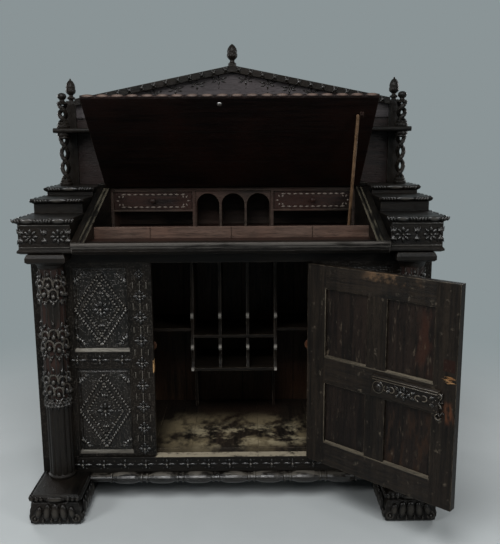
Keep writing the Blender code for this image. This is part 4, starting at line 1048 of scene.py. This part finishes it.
# cupboard: worn floor boards, two turned pegs inside the opening edges
floorWork = {"edges": (-0.6745, -0.2955, -0.158, 0.092, 0.2945, 0.6745), "middleZ": 0.1741, "thick": 0.0176,
             "y": (-0.0413, 0.4527), "joint": 0.0003, "bevel": 0.0022}
parts = []
for left, right in zip(floorWork["edges"], floorWork["edges"][1:]):
    near, far = floorWork["y"]
    board = block((right - left - floorWork["joint"], far - near, floorWork["thick"]),
                  ((left + right) / 2, (near + far) / 2, floorWork["middleZ"]))
    parts.append(easeTop(board, floorWork["bevel"]))
boards = gather("floorBoards", parts, oakFloor, "case")
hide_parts("cupboard_floor")
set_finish(boards, "oak_inner")
pegPlaces = [seat(Vector((x, -0.0415, 0.580)), xAxis, -zAxis) for x in (-0.2935, 0.2790)]
gather("openingPegs", [laid(ringBand(0.014, 0.0055, 18, 8), pegPlaces)], oakPeg, "case")
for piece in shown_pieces():
    if piece.name not in nodes and "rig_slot" not in piece:
        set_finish(piece, "oak_inner" if piece.name.startswith("bar") else "oak_dark")
print("cupboard fitted")

# floor, light, camera
stage = {"tint": (0.39, 0.415, 0.42), "air": (0.255, 0.295, 0.305), "radius": 7, "fade": (1.1, 2.7), "dim": 0.32,
         "camera": (0.0511, -2.4095, 1.2834), "pitch": 10.45, "yaw": -0.0055, "roll": -0.006, "lens": 36 * 679.89 / 544}


def backgroundRay(w):
    # rays that see the background: straight from the camera, mirrored or through glass
    kinds = []
    for kind in ("Is Camera Ray", "Is Glossy Ray", "Is Transmission Ray"):
        kinds.append(w.node("ShaderNodeLightPath", {}, {}, kind))
    return w.maths("MAXIMUM", w.maths("MAXIMUM", kinds[0], kinds[1]), kinds[2])


bpy.ops.object.select_all(action="DESELECT")
bpy.ops.mesh.primitive_circle_add(vertices=64, radius=stage["radius"], fill_type="NGON", location=(0, 0, 0))
floor = bpy.context.object
floor.name = "paleFloor"
floorMat, wash = bareMaterial("palePaint")
spot = wash.node("ShaderNodeTexCoord", {}, {}, "Object")
cloud = stretched(wash, spot, even, 2.0, 4.0)
paint = mixed(wash, eased(wash, cloud, 0.3, 0.7), stage["tint"], dimmed(stage["tint"], 0.95))
lit = wash.node("ShaderNodeBsdfPrincipled", {}, {"Base Color": paint, "Roughness": 0.55})
glow = wash.node("ShaderNodeEmission", {}, {"Color": rgba(stage["air"]), "Strength": 1.0})
away = wash.node("ShaderNodeVectorMath", {"operation": "LENGTH"}, {0: spot}, "Value")
share = eased(wash, away, *stage["fade"]) * backgroundRay(wash)
floor.data.materials.append(surface(floorMat, wash.node("ShaderNodeMixShader", {}, {0: share, 1: lit, 2: glow})))

world = bpy.data.worlds.new("studio")
bpy.context.scene.world = world
world.use_nodes = True
strength = stage["dim"] + (1 - stage["dim"]) * backgroundRay(Wire(world.node_tree))
backdrop = world.node_tree.nodes["Background"]
backdrop.inputs["Color"].default_value = rgba(stage["air"])
world.node_tree.links.new(strength.socket, backdrop.inputs["Strength"])
lamps = {"topSoft": ((-0.3, -1.9, 3.2), (0, 0.1, 0.6), 1.5, 92.0),
         "leftSoft": ((-2.6, -2.4, 2.3), (0, 0, 0.7), 1.0, 54.0),
         "rightSoft": ((2.7, -2.6, 2.0), (0, 0, 0.6), 1.0, 46.0),
         "rearRight": ((3.0, 2.5, 1.9), (0, 0, 0.8), 1.4, 42.0),
         "rearLeft": ((-3.0, 2.5, 1.9), (0, 0, 0.8), 1.4, 42.0)}
for name, (at, aim, size, power) in lamps.items():
    lamp = bpy.data.lights.new(name, "AREA")
    lamp.size = size
    lamp.energy = power
    lampObj = bpy.data.objects.new(name, lamp)
    lampObj.location = at
    lampObj.rotation_euler = (Vector(aim) - Vector(at)).to_track_quat("-Z", "Y").to_euler()
    bpy.context.collection.objects.link(lampObj)

camera = bpy.data.objects.new("camera", bpy.data.cameras.new("camera"))
camera.data.lens = stage["lens"]
camera.data.sensor_width = 36
tilt = Matrix.Rotation(math.radians(90 - stage["pitch"]), 4, "X")
camera.matrix_world = (Matrix.Translation(stage["camera"]) @ Matrix.Rotation(stage["yaw"], 4, "Z") @ tilt
                       @ Matrix.Rotation(stage["roll"], 4, "Z"))
bpy.context.collection.objects.link(camera)
bpy.context.scene.camera = camera
bpy.context.scene.view_settings.view_transform = "Standard"
print("stage set")
